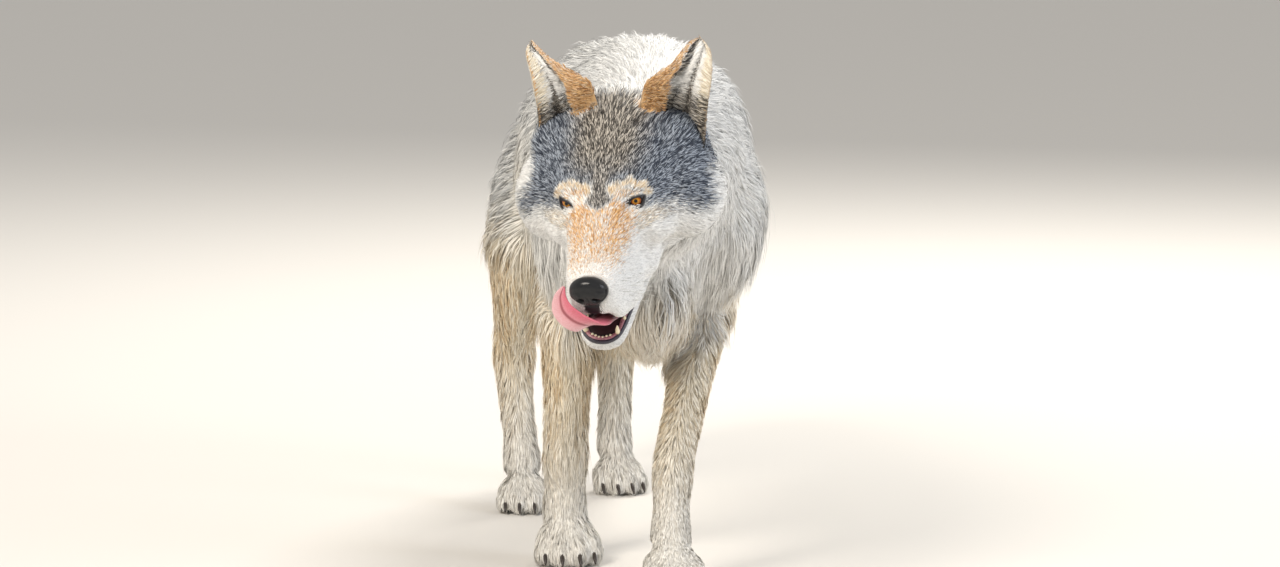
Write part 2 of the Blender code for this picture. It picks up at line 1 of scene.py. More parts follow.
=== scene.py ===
# A grey wolf, life size, as a museum shows one: walking with its head low and turned to its right,
# its mouth half open and its tongue curled up over its lip. The wolf faces -Y and its left is +X.
import json
import math

import bmesh
import bpy
import numpy as np
from mathutils import Matrix, Vector
from mathutils.bvhtree import BVHTree
from mathutils.kdtree import KDTree

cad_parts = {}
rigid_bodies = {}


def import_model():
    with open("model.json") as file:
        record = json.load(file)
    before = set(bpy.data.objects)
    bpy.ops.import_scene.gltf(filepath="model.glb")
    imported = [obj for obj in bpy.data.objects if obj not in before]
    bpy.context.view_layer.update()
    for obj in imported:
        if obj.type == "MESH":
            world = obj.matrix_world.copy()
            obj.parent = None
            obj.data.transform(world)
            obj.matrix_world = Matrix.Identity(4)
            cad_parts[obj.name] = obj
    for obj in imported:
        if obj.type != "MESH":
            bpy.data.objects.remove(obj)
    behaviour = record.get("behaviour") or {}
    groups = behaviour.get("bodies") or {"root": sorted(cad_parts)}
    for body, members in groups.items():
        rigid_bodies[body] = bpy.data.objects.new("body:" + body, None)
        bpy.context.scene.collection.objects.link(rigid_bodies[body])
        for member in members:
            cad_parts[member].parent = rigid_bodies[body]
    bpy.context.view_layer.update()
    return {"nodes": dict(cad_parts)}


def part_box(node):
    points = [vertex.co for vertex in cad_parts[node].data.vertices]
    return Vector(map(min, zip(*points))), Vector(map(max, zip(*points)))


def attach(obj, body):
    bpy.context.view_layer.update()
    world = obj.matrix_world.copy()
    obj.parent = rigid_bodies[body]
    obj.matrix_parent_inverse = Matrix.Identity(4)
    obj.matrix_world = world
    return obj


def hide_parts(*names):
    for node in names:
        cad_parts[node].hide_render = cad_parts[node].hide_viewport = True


for startup_object in list(bpy.data.objects):
    bpy.data.objects.remove(startup_object)
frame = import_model()
MM = 0.001
SEED = 1907
scene = bpy.context.scene


# ---- Camera ------------------------------------------------------------------------------------
# A long lens from seven metres, a little above the back, level with the animal's own midline.
# It looks slightly down, so that the whole animal is seen, from its back to its feet.
CAMERA_AZIMUTH = -9.5
CAMERA_RISE = 4.0  # degrees above the horizon, from the point that it was set up on
CAMERA_TILT = 6.65  # degrees that it looks down
CAMERA_DISTANCE = 7.0
CAMERA_LENS = 152.0
WITHERS = Vector((0.0241, -0.1560, 0.700))

turn, rise = math.radians(CAMERA_AZIMUTH), math.radians(CAMERA_RISE)
away = Vector((math.sin(turn) * math.cos(rise), -math.cos(turn) * math.cos(rise), math.sin(rise)))
camera = bpy.data.objects.new("camera", bpy.data.cameras.new("camera"))
scene.collection.objects.link(camera)
camera.location = WITHERS + away * CAMERA_DISTANCE
camera.rotation_euler = (math.radians(90 - CAMERA_TILT), 0, turn)
camera.data.lens = CAMERA_LENS
camera.data.clip_end = 200
scene.camera = camera


# ---- Frames of the head, the jaw and the feet --------------------------------------------------
# Points of the face are written in the skull's own frame: left, forward and up from the middle of
# the eyes. The lower jaw turns about its hinge, and each foot has a frame with its toes forward.
HEAD_AT = Vector((-0.111, -0.360, 0.526))  # where the skull stands before the wolf is centred
HEAD_YAW, HEAD_PITCH, HEAD_ROLL = -21.5, 27.5, -3.5
EYE_FORWARD, EYE_UP = 0.008, 0.007
JAW_HINGE = (-0.030, -0.055)  # forward and up
JAW_OPENING, JAW_SWING, JAW_TILT = 26.0, 3.0, 5.0
PAD_PRESS = 0.0035
PAWS = {
    "forepaw_left": ((0.014, -0.112), -3, 1.00),
    "forepaw_right": ((-0.088, 0.110), -3, 1.00),
    "hindpaw_left": ((0.075, 0.700), 4, 0.90),
    "hindpaw_right": ((-0.080, 0.553), -4, 0.90),
}
TOES = [(-29.0, 26, -11), (-10.2, 42, -3), (10.2, 42, 3), (29.0, 26, 11)]  # offset, reach, splay


def toe_line(offset, reach, splay):
    """How far aside the middle of a toe is, in millimetres."""
    return offset + reach * 0.5 * math.sin(math.radians(splay))


def middle_of(node):
    """The middle of a CAD solid."""
    low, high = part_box(node)
    return (low + high) / 2


def rotation(degrees, axis):
    """A turn about one axis."""
    return Matrix.Rotation(math.radians(degrees), 4, axis)


HEAD = (
    Matrix.Translation((middle_of("eye_left") + middle_of("eye_right")) / 2)
    @ rotation(HEAD_YAW, "Z")
    @ rotation(HEAD_PITCH, "X")
    @ rotation(HEAD_ROLL, "Y")
    @ Matrix.Translation((0, EYE_FORWARD, -EYE_UP))
)
hinge = Matrix.Translation((0, -JAW_HINGE[0], JAW_HINGE[1]))
swung = rotation(JAW_OPENING, "X") @ rotation(-JAW_SWING, "Z") @ rotation(JAW_TILT, "Y")
JAW = HEAD @ hinge @ swung @ hinge.inverted()
centring = HEAD.translation - HEAD_AT
FEET = {}
for paw, ((aside, back), heading, size) in PAWS.items():
    place = Matrix.Translation((aside + centring.x, back + centring.y, -PAD_PRESS))
    FEET[paw] = place @ rotation(heading, "Z") @ Matrix.Scale(size, 4)


def placed(matrix, points):
    """Rows of left, forward, up in millimetres, turned from a frame into the world."""
    rows = np.array(points, float) * MM * (1, -1, 1)
    m = np.array(matrix)
    return rows @ m[:3, :3].T + m[:3, 3]


def within(matrix, points):
    """World points as left, forward, up of a frame, in millimetres."""
    m = np.array(matrix.inverted())
    return (points @ m[:3, :3].T + m[:3, 3]) * (1, -1, 1) / MM


# ---- Skin --------------------------------------------------------------------------------------
# One hide covers the whole body. It lies under the outline by the depth of the coat: a few
# millimetres on the face and the feet, two centimetres on the neck and the trunk.
# Its markings are those of the hair that grows from it.
VOXEL = 4.0 * MM
OVERLAP = 0.5 * MM  # by which neighbouring solids grow into each other before they are merged
BARE_NODES = ("eye", "ear", "nose", "tongue")
TEETH_FROM, TEETH_ABOVE = 70 * MM, -72.5 * MM  # forward and up in the jaw's frame
CLAW_HALF_WIDTH, CLAW_ROOT = 7, 17  # millimetres, the second past the toe's reach
flesh = sorted(n for n in frame["nodes"] if not n.startswith(BARE_NODES))

# Depth of the coat, length and width of its hair in millimetres, hairs to a square centimetre,
# and the way it lies: to the left, back, and up.
COAT = {
    "head": (4.0, 11.0, 1.0, 90, (0, 1, 0)),
    "lower_jaw": (3.0, 8.0, 0.9, 90, (0, 1, -0.2)),
    "neck": (20.0, 46.0, 1.15, 60, (0, 0.85, -0.55)),
    "chest": (19.0, 44.0, 1.3, 44, (0, 0.75, -0.65)),
    "hindquarters": (17.0, 42.0, 1.5, 30, (0, 0.80, -0.60)),
    "tail": (24.0, 60.0, 1.9, 30, (0, 0.25, -1)),
    "foreleg": (7.0, 20.0, 1.15, 56, (0, 0.20, -1)),
    "forepaw": (3.0, 8.5, 0.95, 80, (0, -0.35, -1)),
    "gaskin": (8.0, 25.0, 1.3, 44, (0, 0.35, -1)),
    "hock": (4.0, 13.0, 1.1, 60, (0, 0.15, -1)),
    "hindpaw": (3.0, 8.5, 0.95, 80, (0, -0.35, -1)),
}


def kind_of(node):
    """A solid's name without its side."""
    return node.removesuffix("_left").removesuffix("_right")


def tidy_copy(node):
    """The CAD solid as a bmesh with its corners merged, grown a little."""
    bm = bmesh.new()
    bm.from_mesh(frame["nodes"][node].data)
    bmesh.ops.remove_doubles(bm, verts=bm.verts, dist=0.003 * MM)
    bm.normal_update()
    for vertex in bm.verts:
        vertex.co += vertex.normal * OVERLAP
    return bm


def without_horn(bm, node):
    """Presses the teeth and the claws back into the flesh, because they are pieces of their own."""
    if node == "lower_jaw":
        to_jaw = JAW.inverted()
        for vertex in bm.verts:
            x, y, z = to_jaw @ vertex.co
            if y < -TEETH_FROM:
                vertex.co = JAW @ Vector((x, y, min(z, TEETH_ABOVE)))
    if node in FEET:
        to_foot = FEET[node].inverted()
        for vertex in bm.verts:
            x, y, z = to_foot @ vertex.co
            for toe in TOES:
                if abs(x / MM - toe_line(*toe)) < CLAW_HALF_WIDTH:
                    vertex.co = FEET[node] @ Vector((x, max(y, -(toe[1] + CLAW_ROOT) * MM), z))
    return bm


def merged_flesh():
    """All the solids of flesh, and the eyeballs in them, as one closed mesh at the coat's tips."""
    whole = bmesh.new()
    for node in flesh + ["eye_left", "eye_right"]:
        mesh = bpy.data.meshes.new("part")
        part = without_horn(tidy_copy(node), node)
        part.to_mesh(mesh)
        part.free()
        whole.from_mesh(mesh)
        bpy.data.meshes.remove(mesh)
    mesh = bpy.data.meshes.new("outline")
    whole.to_mesh(mesh)
    whole.free()
    outline = bpy.data.objects.new("outline", mesh)
    scene.collection.objects.link(outline)
    step = outline.modifiers.new("merge", "REMESH")
    step.mode = "VOXEL"
    step.voxel_size = VOXEL
    merged = bpy.data.meshes.new_from_object(
        outline.evaluated_get(bpy.context.evaluated_depsgraph_get())
    )
    bpy.data.objects.remove(outline)
    points = np.empty(len(merged.vertices) * 3)
    merged.vertices.foreach_get("co", points)
    quads = np.empty(len(merged.loops), int)
    merged.loops.foreach_get("vertex_index", quads)
    bpy.data.meshes.remove(merged)
    return points.reshape(-1, 3), quads.reshape(-1, 4)


def largest_part(points, quads):
    """Drops the small bubbles that a merge can leave inside."""
    label = np.arange(len(points))
    while True:
        low = label[quads].min(1)
        new = label.copy()
        np.minimum.at(new, quads.ravel(), np.repeat(low, 4))
        new = new[new]
        if (new == label).all():
            break
        label = new
    main = np.bincount(label).argmax()
    kept = label == main
    index = np.cumsum(kept) - 1
    return points[kept], index[quads[kept[quads[:, 0]]]]


def spread(values, rounds):
    """Each row averaged with its neighbours over the outline, this many times."""
    values = np.array(values, float)
    flat = values.reshape(len(values), -1).copy()
    for _ in range(rounds):
        for k in range(flat.shape[1]):
            column = flat[:, k]
            total = np.bincount(edge_a, column[edge_b], len(column))
            flat[:, k] = 0.5 * column + 0.5 * total / valence
    return flat.reshape(values.shape)


def unit(rows):
    """Each row at length 1."""
    return rows / np.maximum(np.linalg.norm(rows, axis=-1, keepdims=True), 1e-12)


def vertex_normals(points, quads):
    """The way that a mesh of quads faces at each of its points."""
    a, b, c, d = (points[quads[:, k]] for k in range(4))
    face = np.cross(c - a, d - b)
    total = np.zeros_like(points)
    for k in range(4):
        for axis in range(3):
            total[:, axis] += np.bincount(quads[:, k], face[:, axis], len(points))
    return unit(total)


def ramp(value, low, high):
    """0 below low, 1 above high, smooth between."""
    t = np.clip((value - low) / (high - low), 0, 1)
    return t * t * (3 - 2 * t)


outline_points, outline_quads = largest_part(*merged_flesh())
pairs = np.concatenate([outline_quads[:, [k, (k + 1) % 4]] for k in range(4)])
edge_a, edge_b = np.concatenate([pairs, pairs[:, ::-1]]).T
valence = np.maximum(np.bincount(edge_a, minlength=len(outline_points)), 1)
outline_points = spread(outline_points, 3)
outline_normals = vertex_normals(outline_points, outline_quads)

# Which solid each point of the hide belongs to, softened across the borders.
kinds = list(COAT)
corners, sides, owner = [], [], []
for node in flesh:
    mesh = frame["nodes"][node].data
    start = len(corners)
    corners += [vertex.co for vertex in mesh.vertices]
    sides += [[start + v for v in face.vertices] for face in mesh.polygons]
    owner += [kinds.index(kind_of(node))] * len(mesh.polygons)
solids = BVHTree.FromPolygons(corners, sides)
home = np.array([owner[solids.find_nearest(p)[2]] for p in outline_points.tolist()])
share = spread(np.eye(len(kinds))[home], 40)
face_at = within(HEAD, outline_points)
left, forward, up = face_at.T
aside = np.abs(left)
head_share = share[:, kinds.index("head")] + share[:, kinds.index("lower_jaw")]
is_head = np.isin(home, (kinds.index("head"), kinds.index("lower_jaw")))

# The mouth's lining is bare: it is what looks across the open mouth at the other jaw.
MOUTH_CORNER, MOUTH_ROOF, MOUTH_SPAN = -24, -45, 75  # forward, up, and from jaw to jaw
outline_tree = BVHTree.FromPolygons(outline_points.tolist(), outline_quads.tolist())
lining = np.zeros(len(outline_points))
for i in np.flatnonzero(is_head & (forward > MOUTH_CORNER) & (up < MOUTH_ROOF)):
    point, normal = Vector(outline_points[i]), Vector(outline_normals[i])
    if outline_tree.ray_cast(point + normal * MM, normal, MOUTH_SPAN * MM)[0] is not None:
        lining[i] = 1.0
mouth = spread(lining, 3)

# The hair's length, depth, width and number on the head change from the nose to the ruff.
ALONG_HEAD = [-165, -125, -90, -50, -10, 30, 70, 125]
on_skull = np.stack(
    [
        np.interp(forward, ALONG_HEAD, [17, 13, 8.5, 5.5, 3.8, 3.0, 2.4, 1.4]),
        np.interp(forward, ALONG_HEAD, [42, 30, 20, 13, 9.5, 7.2, 5.6, 4.0]),
        np.interp(forward, ALONG_HEAD, [1.45, 1.3, 1.15, 1.0, 0.92, 0.85, 0.8, 0.75]),
        np.interp(forward, ALONG_HEAD, [46, 56, 72, 92, 112, 130, 150, 170]),
    ],
    axis=1,
)
on_body = share @ np.array([COAT[kind][:4] for kind in kinds], float)
by_head = np.clip(head_share * 1.1, 0, 1)[:, None]
depth, length, width, number = (on_body + (on_skull - on_body) * by_head).T

# The coat takes up no more than this share of the body's own thickness, and none in the mouth.
MOST_OF_THICKNESS, THICKEST = 0.28, 0.2
body_thickness = np.full(len(depth), 1.0)
for i, (point, normal) in enumerate(zip(outline_points.tolist(), outline_normals.tolist())):
    point, normal = Vector(point), Vector(normal)
    distance = outline_tree.ray_cast(point - normal * MM, -normal, THICKEST)[3]
    if distance is not None:
        body_thickness[i] = distance
depth = np.minimum(depth * MM, MOST_OF_THICKNESS * spread(body_thickness, 4))
depth *= 1 - 0.9 * ramp(mouth, 0.2, 0.7)
depth *= ramp(outline_points[:, 2], -2 * MM, 10 * MM)
depth = spread(depth, 6)

skin_points = outline_points - spread(outline_normals, 4) * depth[:, None]
relax = ramp(depth, 5 * MM, 15 * MM)[:, None]
for _ in range(12):
    skin_points += (spread(skin_points, 1) - skin_points) * relax

# -- Ears
# A thin leaf of gristle and skin between two edges that meet in a round tip, hollow towards the
# front and the outside. The edges run from the foot, sunk in the head, to the tip, in left,
# forward, up.
EAR_STEPS, EAR_COLUMNS = 4, 14
EAR_THICK = 2.6  # millimetres
EAR_FACING = unit(np.array([0.42, 0.86, 0.20]))  # the way that the hollow looks
EAR_INNER = {
    1: [
        *[(30, -112, 58), (43, -112, 94), (59, -114, 106)],
        *[(78, -118, 118), (92, -130, 130), (102, -141, 136)],
    ],
    -1: [
        *[(20, -112, 62), (26, -112, 98), (40, -114, 110)],
        *[(58, -118, 121), (79, -130, 131), (92, -141, 138)],
    ],
}
EAR_OUTER = {
    1: [
        *[(108, -86, 6), (124, -91, 78), (129, -98, 98)],
        *[(131, -110, 114), (129, -126, 124), (122, -140, 131)],
    ],
    -1: [
        *[(98, -86, 6), (92, -91, 76), (94, -98, 101)],
        *[(98, -110, 123), (104, -126, 133), (105, -140, 137)],
    ],
}
EAR_TIP = {1: (112, -149, 136), -1: (100, -149, 141)}
EAR_SUNK = -0.16  # where its foot starts, as a share of its height
# how far up, and how wide the furry band along the inner edge is there
EAR_BAND = ([EAR_SUNK, 0.03, 0.22, 0.42, 0.61, 0.80, 1.0], [34, 28, 19, 12, 6.5, 4, 2])
EAR_CUPPED = 0.50  # depth of the hollow, as a share of its width
EAR_FOLD_AT, EAR_FOLD_WIDTH, EAR_FOLD_HEIGHT = 0.80, 0.07, 5.0
EAR_PARTING = 0.66  # across the hollow, where the hair from both edges meets
EAR_ROWS = 6 * EAR_STEPS + 1


def flowing(rows, steps):
    """Rows of numbers joined by a Catmull-Rom curve, with this many steps to a span."""
    rows = np.array(rows, float)
    rows = np.vstack([2 * rows[0] - rows[1], rows, 2 * rows[-1] - rows[-2]])
    t = (np.arange(steps) / steps)[:, None]
    made = []
    for a, b, c, d in zip(rows, rows[1:], rows[2:], rows[3:]):
        bend_in = t * t * (a - 2.5 * b + 2 * c - 0.5 * d)
        made.append(b + 0.5 * t * (c - a) + bend_in + t**3 * 0.5 * (3 * b - a - 3 * c + d))
    return np.vstack([*made, rows[-2:-1]])


def ear_leaf(side):
    """Both faces of an ear as rows of points, with how far up each is, its distance from each edge
    in millimetres, and its face."""
    inner = flowing(EAR_INNER[side] + [EAR_TIP[side]], EAR_STEPS)
    outer = flowing(EAR_OUTER[side] + [EAR_TIP[side]], EAR_STEPS)
    t = np.linspace(EAR_SUNK, 1, EAR_ROWS)[:, None]
    u = np.linspace(0, 1, EAR_COLUMNS + 1)
    wide = np.linalg.norm(outer - inner, axis=1)[:, None]
    from_band = wide * u - np.interp(t, *EAR_BAND)
    into_hollow = np.clip(from_band / np.maximum(from_band[:, -1:], 1), 0, 1)
    bow = 1 - np.abs(2 * into_hollow - 1) ** 2.2
    sunk = EAR_CUPPED * np.maximum(from_band[:, -1:], 0) * bow * (1 - 0.3 * t)
    # a low fold runs up the hollow from the ear's foot, near the outer edge
    fold = EAR_FOLD_HEIGHT * np.exp(-(((into_hollow - EAR_FOLD_AT) / EAR_FOLD_WIDTH) ** 2))
    fold *= ramp(-t, -0.55, -0.05)
    leaf = inner[:, None] + (outer - inner)[:, None] * u[None, :, None]
    leaf = leaf - EAR_FACING * (sunk - fold)[:, :, None]
    thick = EAR_THICK * (0.35 + 0.65 * (1 - np.abs(2 * u - 1) ** 2.2)) * (1 - 0.3 * t)
    faces = [leaf + EAR_FACING * (thick * o)[:, :, None] for o in (0.5, -0.5)]
    points = np.stack(faces).reshape(-1, 3) * (side, 1, 1)
    rows = {"ear_up": t + 0 * u, "ear_inner": from_band, "ear_outer": wide * (1 - u)}
    rows = {name: np.tile(row.ravel(), 2) for name, row in rows.items()}
    return points, rows, np.repeat([0.0, 1.0], EAR_ROWS * (EAR_COLUMNS + 1))


def ear_quads(side):
    """The ear's faces: two sheets, joined round the edge."""
    front = np.arange(EAR_ROWS * (EAR_COLUMNS + 1)).reshape(EAR_ROWS, EAR_COLUMNS + 1)
    back = front + front.size
    quads = []
    for sheet, order in ((front, 1), (back, -1)):
        corners = (sheet[:-1, :-1], sheet[:-1, 1:], sheet[1:, 1:], sheet[1:, :-1])
        quads.append(np.stack([corner.ravel() for corner in corners], 1)[:, ::order])
    for one, other in ((front[:, 0], back[:, 0]), (back[:, -1], front[:, -1]), (back[0], front[0])):
        quads.append(np.stack([one[:-1], one[1:], other[1:], other[:-1]], 1))
    return np.concatenate(quads)[:, ::side]


def tangent(ways, normals):
    """Ways laid into the surface, at unit length."""
    return unit(ways - normals * (ways * normals).sum(1, keepdims=True))


def turned(rows):
    """Directions in left, forward, up of the skull, turned into the world."""
    return np.array(rows, float) * (1, -1, 1) @ np.array(HEAD)[:3, :3].T


# -- The lie of the coat
# It lies over the head from the nose backwards, parting above the eyes and sweeping
# down the cheeks; over the trunk back and down; down the legs and along the tail.
skin_normals = vertex_normals(skin_points, outline_quads)
home_way = share @ np.array([COAT[kind][4] for kind in kinds], float)
front_of_chest = ramp(-outline_points[:, 1], 0.16, 0.26) * share[:, kinds.index("chest")]
home_way += front_of_chest[:, None] * np.array((0, -0.3, -1.0))
outwards = np.sign(left)
crown = ramp(up, 0, 45)
cheek = ramp(aside, 50, 90) * (1 - crown)
head_way = turned(
    np.stack(
        [
            outwards * (0.10 + 0.45 * cheek + 0.35 * ramp(-forward, -20, 40) * ramp(aside, 8, 40)),
            -np.ones(len(left)),
            -0.15 - 0.55 * cheek - 0.35 * ramp(-up, 20, 60) + 0.35 * crown * ramp(-forward, -40, 0),
        ],
        axis=1,
    )
)
way = home_way * (1 - head_share[:, None]) + head_way * head_share[:, None]
for _ in range(5):
    way = tangent(spread(way, 4), skin_normals)

# -- Eyelids
# An almond with pointed corners that rides on the eyeball and runs out onto the face in
# rings. Each side's opening looks its own way and rises towards its outer corner by some degrees.
EYEBALL = 11.7  # millimetres, like all of the sizes here
LID_SIDES = {
    1: {"node": "eye_left", "facing": (0.10, 0.97, 0.05), "rise": 25},
    -1: {"node": "eye_right", "facing": (-0.30, 0.92, -0.12), "rise": 33},
}
LID_HALF_WIDTH, LID_UPPER, LID_LOWER = 11.0, 5.4, 5.8
LID_RINGS = np.array([1.00, 1.07, 1.16, 1.28, 1.45, 1.68, 2.00, 2.50])
LID_COLUMNS = 44
LID_SPREAD = (11.0, 8.0)  # how much wider and higher each whole step of the rings is
TEAR_LONGER, TEAR_LOWER = 1.14, 1.4  # the inner corner is drawn out and down
LID_SINK = 0.8  # by which the outermost ring lies under the face


def eye_axes(side, facing, rise):
    """Outwards along the almond, up across it, and out of the eye."""
    out_of = unit(np.array(facing, float))
    rise = math.radians(rise)
    outwards = np.array([side * math.cos(rise), 0, math.sin(rise)])
    outwards = unit(outwards - out_of * (outwards @ out_of))
    upwards = np.cross(out_of, outwards)
    return outwards, upwards * np.sign(upwards[2]), out_of


def ring_quads(rings, columns):
    """The faces between rings of points, each ring closed."""
    i, k = np.meshgrid(np.arange(rings - 1), np.arange(columns), indexing="ij")
    k_next = (k + 1) % columns
    ring, next_ring = i * columns, (i + 1) * columns
    corners = (ring + k, ring + k_next, next_ring + k_next, next_ring + k)
    return np.stack(corners, -1).reshape(-1, 4)


def facing_out(points, quads, ways):
    """A sheet's faces, all turned over if the sheet looks against these ways."""
    a, b, c, d = (points[quads[:, k]] for k in range(4))
    along_ways = (np.cross(c - a, d - b) * ways[quads].mean(1)).sum()
    return quads if along_ways > 0 else quads[:, ::-1]


LID_QUADS = ring_quads(len(LID_RINGS), LID_COLUMNS)
skin_tree = BVHTree.FromPolygons(skin_points.tolist(), outline_quads.tolist())
skin_face_at = within(HEAD, skin_points)


def eyelids(side, node, facing, rise):
    """The lids of one eye as rings of points in the world, and how far out each point lies."""
    outwards, upwards, out_of = eye_axes(side, facing, rise)
    middle = within(HEAD, np.array([middle_of(node)]))[0]
    turn = np.arange(LID_COLUMNS) / LID_COLUMNS * math.tau
    c, s = np.cos(turn), np.sin(turn)
    x = LID_HALF_WIDTH * c * np.where(c < 0, TEAR_LONGER, 1.0)
    y = np.where(s > 0, LID_UPPER, -LID_LOWER) * (1 - np.abs(c) ** 1.7)
    y = y - TEAR_LOWER * ramp(-c, 0.5, 1.0)
    scale = LID_RINGS[:, None]
    x, y = x + (scale - 1) * (LID_SPREAD[0] * c), y + (scale - 1) * (LID_SPREAD[1] * s)
    ball = EYEBALL + np.interp(LID_RINGS, [1.0, 1.07], [0.6, 1.6])[:, None]
    z = np.sqrt(np.maximum(ball**2 - x**2 - y**2, 7.0))
    z[2:] = z[1]
    z[-1] = 6.0
    points = middle + x[..., None] * outwards + y[..., None] * upwards + z[..., None] * out_of

    # the outermost ring lies just under the face, and the others rise to it from the eyeball
    outer = np.empty((LID_COLUMNS, 3))
    for i, point in enumerate(placed(HEAD, points[-1]).tolist()):
        found, normal = skin_tree.find_nearest(Vector(point))[:2]
        outer[i] = found - normal * LID_SINK * MM
    outer = within(HEAD, outer)
    for _ in range(2):
        outer = (np.roll(outer, 1, 0) + 2 * outer + np.roll(outer, -1, 0)) / 4
    share_out = np.clip((scale[2:] - 1.07) / (LID_RINGS[-1] - 1.07), 0, 1)[..., None]
    sooner = 1 - (1 - share_out) ** 1.6
    step = outer - points[1]
    climb = (step @ out_of)[:, None] * out_of
    points[2:] = points[1] + step * share_out + climb * (sooner - share_out)
    points[2:] += 1.2 * np.sin(math.pi * np.clip(share_out * 1.15, 0, 1)) * out_of
    radial = c[:, None] * outwards + s[:, None] * upwards
    return placed(HEAD, points.reshape(-1, 3)), np.repeat(LID_RINGS, LID_COLUMNS), radial


# Where the lids and the eyeballs cover it, the skin is pressed in out of their way.
PRESS_WITHIN, BEHIND_LID, BEHIND_BALL = 36 * MM, 0.9 * MM, 1.5
LOOK_FROM = 0.05  # metres before the face, from where the lids are found


def pointing(ways):
    """Ways in left, forward, up of the skull, turned into the world as so many millimetres."""
    return placed(HEAD, ways) - placed(HEAD, [(0, 0, 0)])


lid_rings = {side: eyelids(side, **lids) for side, lids in LID_SIDES.items()}
covered = np.zeros(len(skin_points), bool)
for side, lids in LID_SIDES.items():
    ahead = pointing([eye_axes(side, lids["facing"], lids["rise"])[2]])
    ahead = Vector(ahead[0]).normalized()
    eye_at = Vector(middle_of(lids["node"]))
    lid_tree = BVHTree.FromPolygons(lid_rings[side][0].tolist(), LID_QUADS.tolist())
    near = np.linalg.norm(skin_points - np.array(eye_at), axis=1) < PRESS_WITHIN
    for i in np.flatnonzero(near):
        point = Vector(skin_points[i])
        face, distance = lid_tree.ray_cast(point + ahead * LOOK_FROM, -ahead, 2 * LOOK_FROM)[2:]
        offset = point - eye_at
        if face is None and offset.length < 17 * MM:
            inside_ball = (EYEBALL - BEHIND_BALL) * MM
            skin_points[i] = eye_at + offset * min(1, inside_ball / offset.length)
            covered[i] = True
        elif face is not None and face < (len(LID_RINGS) - 2) * LID_COLUMNS:
            too_high = distance - LOOK_FROM + BEHIND_LID
            most = np.interp(face // LID_COLUMNS, [1, 3, len(LID_RINGS)], [18, 12, 3]) * MM
            covered[i] = too_high < most
            if 0 < too_high < most:
                skin_points[i] = point - ahead * too_high

# Bare leather: the lips, the groove under the nose, and the soles of the feet.
bare_lip = ramp(mouth, 0.12, 0.30)
from_groove = np.hypot(skin_face_at[:, 0] / 11, (skin_face_at[:, 2] + 68) / 17)
under_nose = (1 - ramp(from_groove, 0.85, 1.15)) * ramp(skin_face_at[:, 1], 116, 122)
soles = 1 - ramp(skin_points[:, 2], 5 * MM, 9 * MM)
leather = np.maximum(np.maximum(bare_lip, under_nose), soles)
hide_points, hide_quads = [skin_points], [outline_quads]
zeros = np.zeros(len(skin_points))
fields = {
    "depth": [depth],
    "length": [length * MM],
    "width": [width * MM],
    "number": [number * (1 - leather)],
    "way": [way],
    "ear": [zeros],
    "ear_up": [zeros],
    "ear_inner": [zeros],
    "ear_outer": [zeros],
    "mouth": [mouth],
    "leather": [leather],
    "home": [home],
    "share": [share],
}


def add_to_hide(points, quads, **values):
    """Joins a sheet to the hide, with its fields; those not given are 0."""
    start = sum(len(part) for part in hide_points)
    hide_points.append(points)
    hide_quads.append(quads + start)
    for name, rows in fields.items():
        value = np.asarray(values.get(name, 0.0), float)
        rows.append(np.broadcast_to(value, (len(points), *value.shape[1:])))


nearest_skin = KDTree(len(skin_points))
for i in np.flatnonzero(is_head).tolist():
    nearest_skin.insert(skin_points[i], i)
nearest_skin.balance()
for side, lids in LID_SIDES.items():
    points, out, radial = lid_rings[side]
    nearest = np.array([nearest_skin.find(p)[1] for p in points.tolist()])
    quads = facing_out(points, LID_QUADS, skin_normals[nearest])
    turn = np.arange(LID_COLUMNS) / LID_COLUMNS * math.tau
    inner_corner = np.tile(ramp(-np.cos(turn), 0.55, 0.95), len(LID_RINGS))
    radial = np.tile(unit(pointing(radial)), (len(LID_RINGS), 1))
    blend = ramp(out, 1.5, 2.2)[:, None]
    add_to_hide(
        points,
        quads,
        depth=(0.5 + 1.6 * ramp(out, 1.4, 2.1)) * MM,
        length=(2.8 + 3.2 * ramp(out, 1.4, 2.2)) * MM,
        width=0.7 * MM,
        number=150 * ramp(out - 0.45 * inner_corner, 1.38, 1.60),
        way=unit(radial * (1 - blend) * 0.8 + way[nearest] * (0.4 + blend)),
        leather=1 - ramp(out - 0.45 * inner_corner, 1.38, 1.62),
        home=kinds.index("head"),
        share=np.tile(np.eye(len(kinds))[kinds.index("head")], (len(points), 1)),
    )
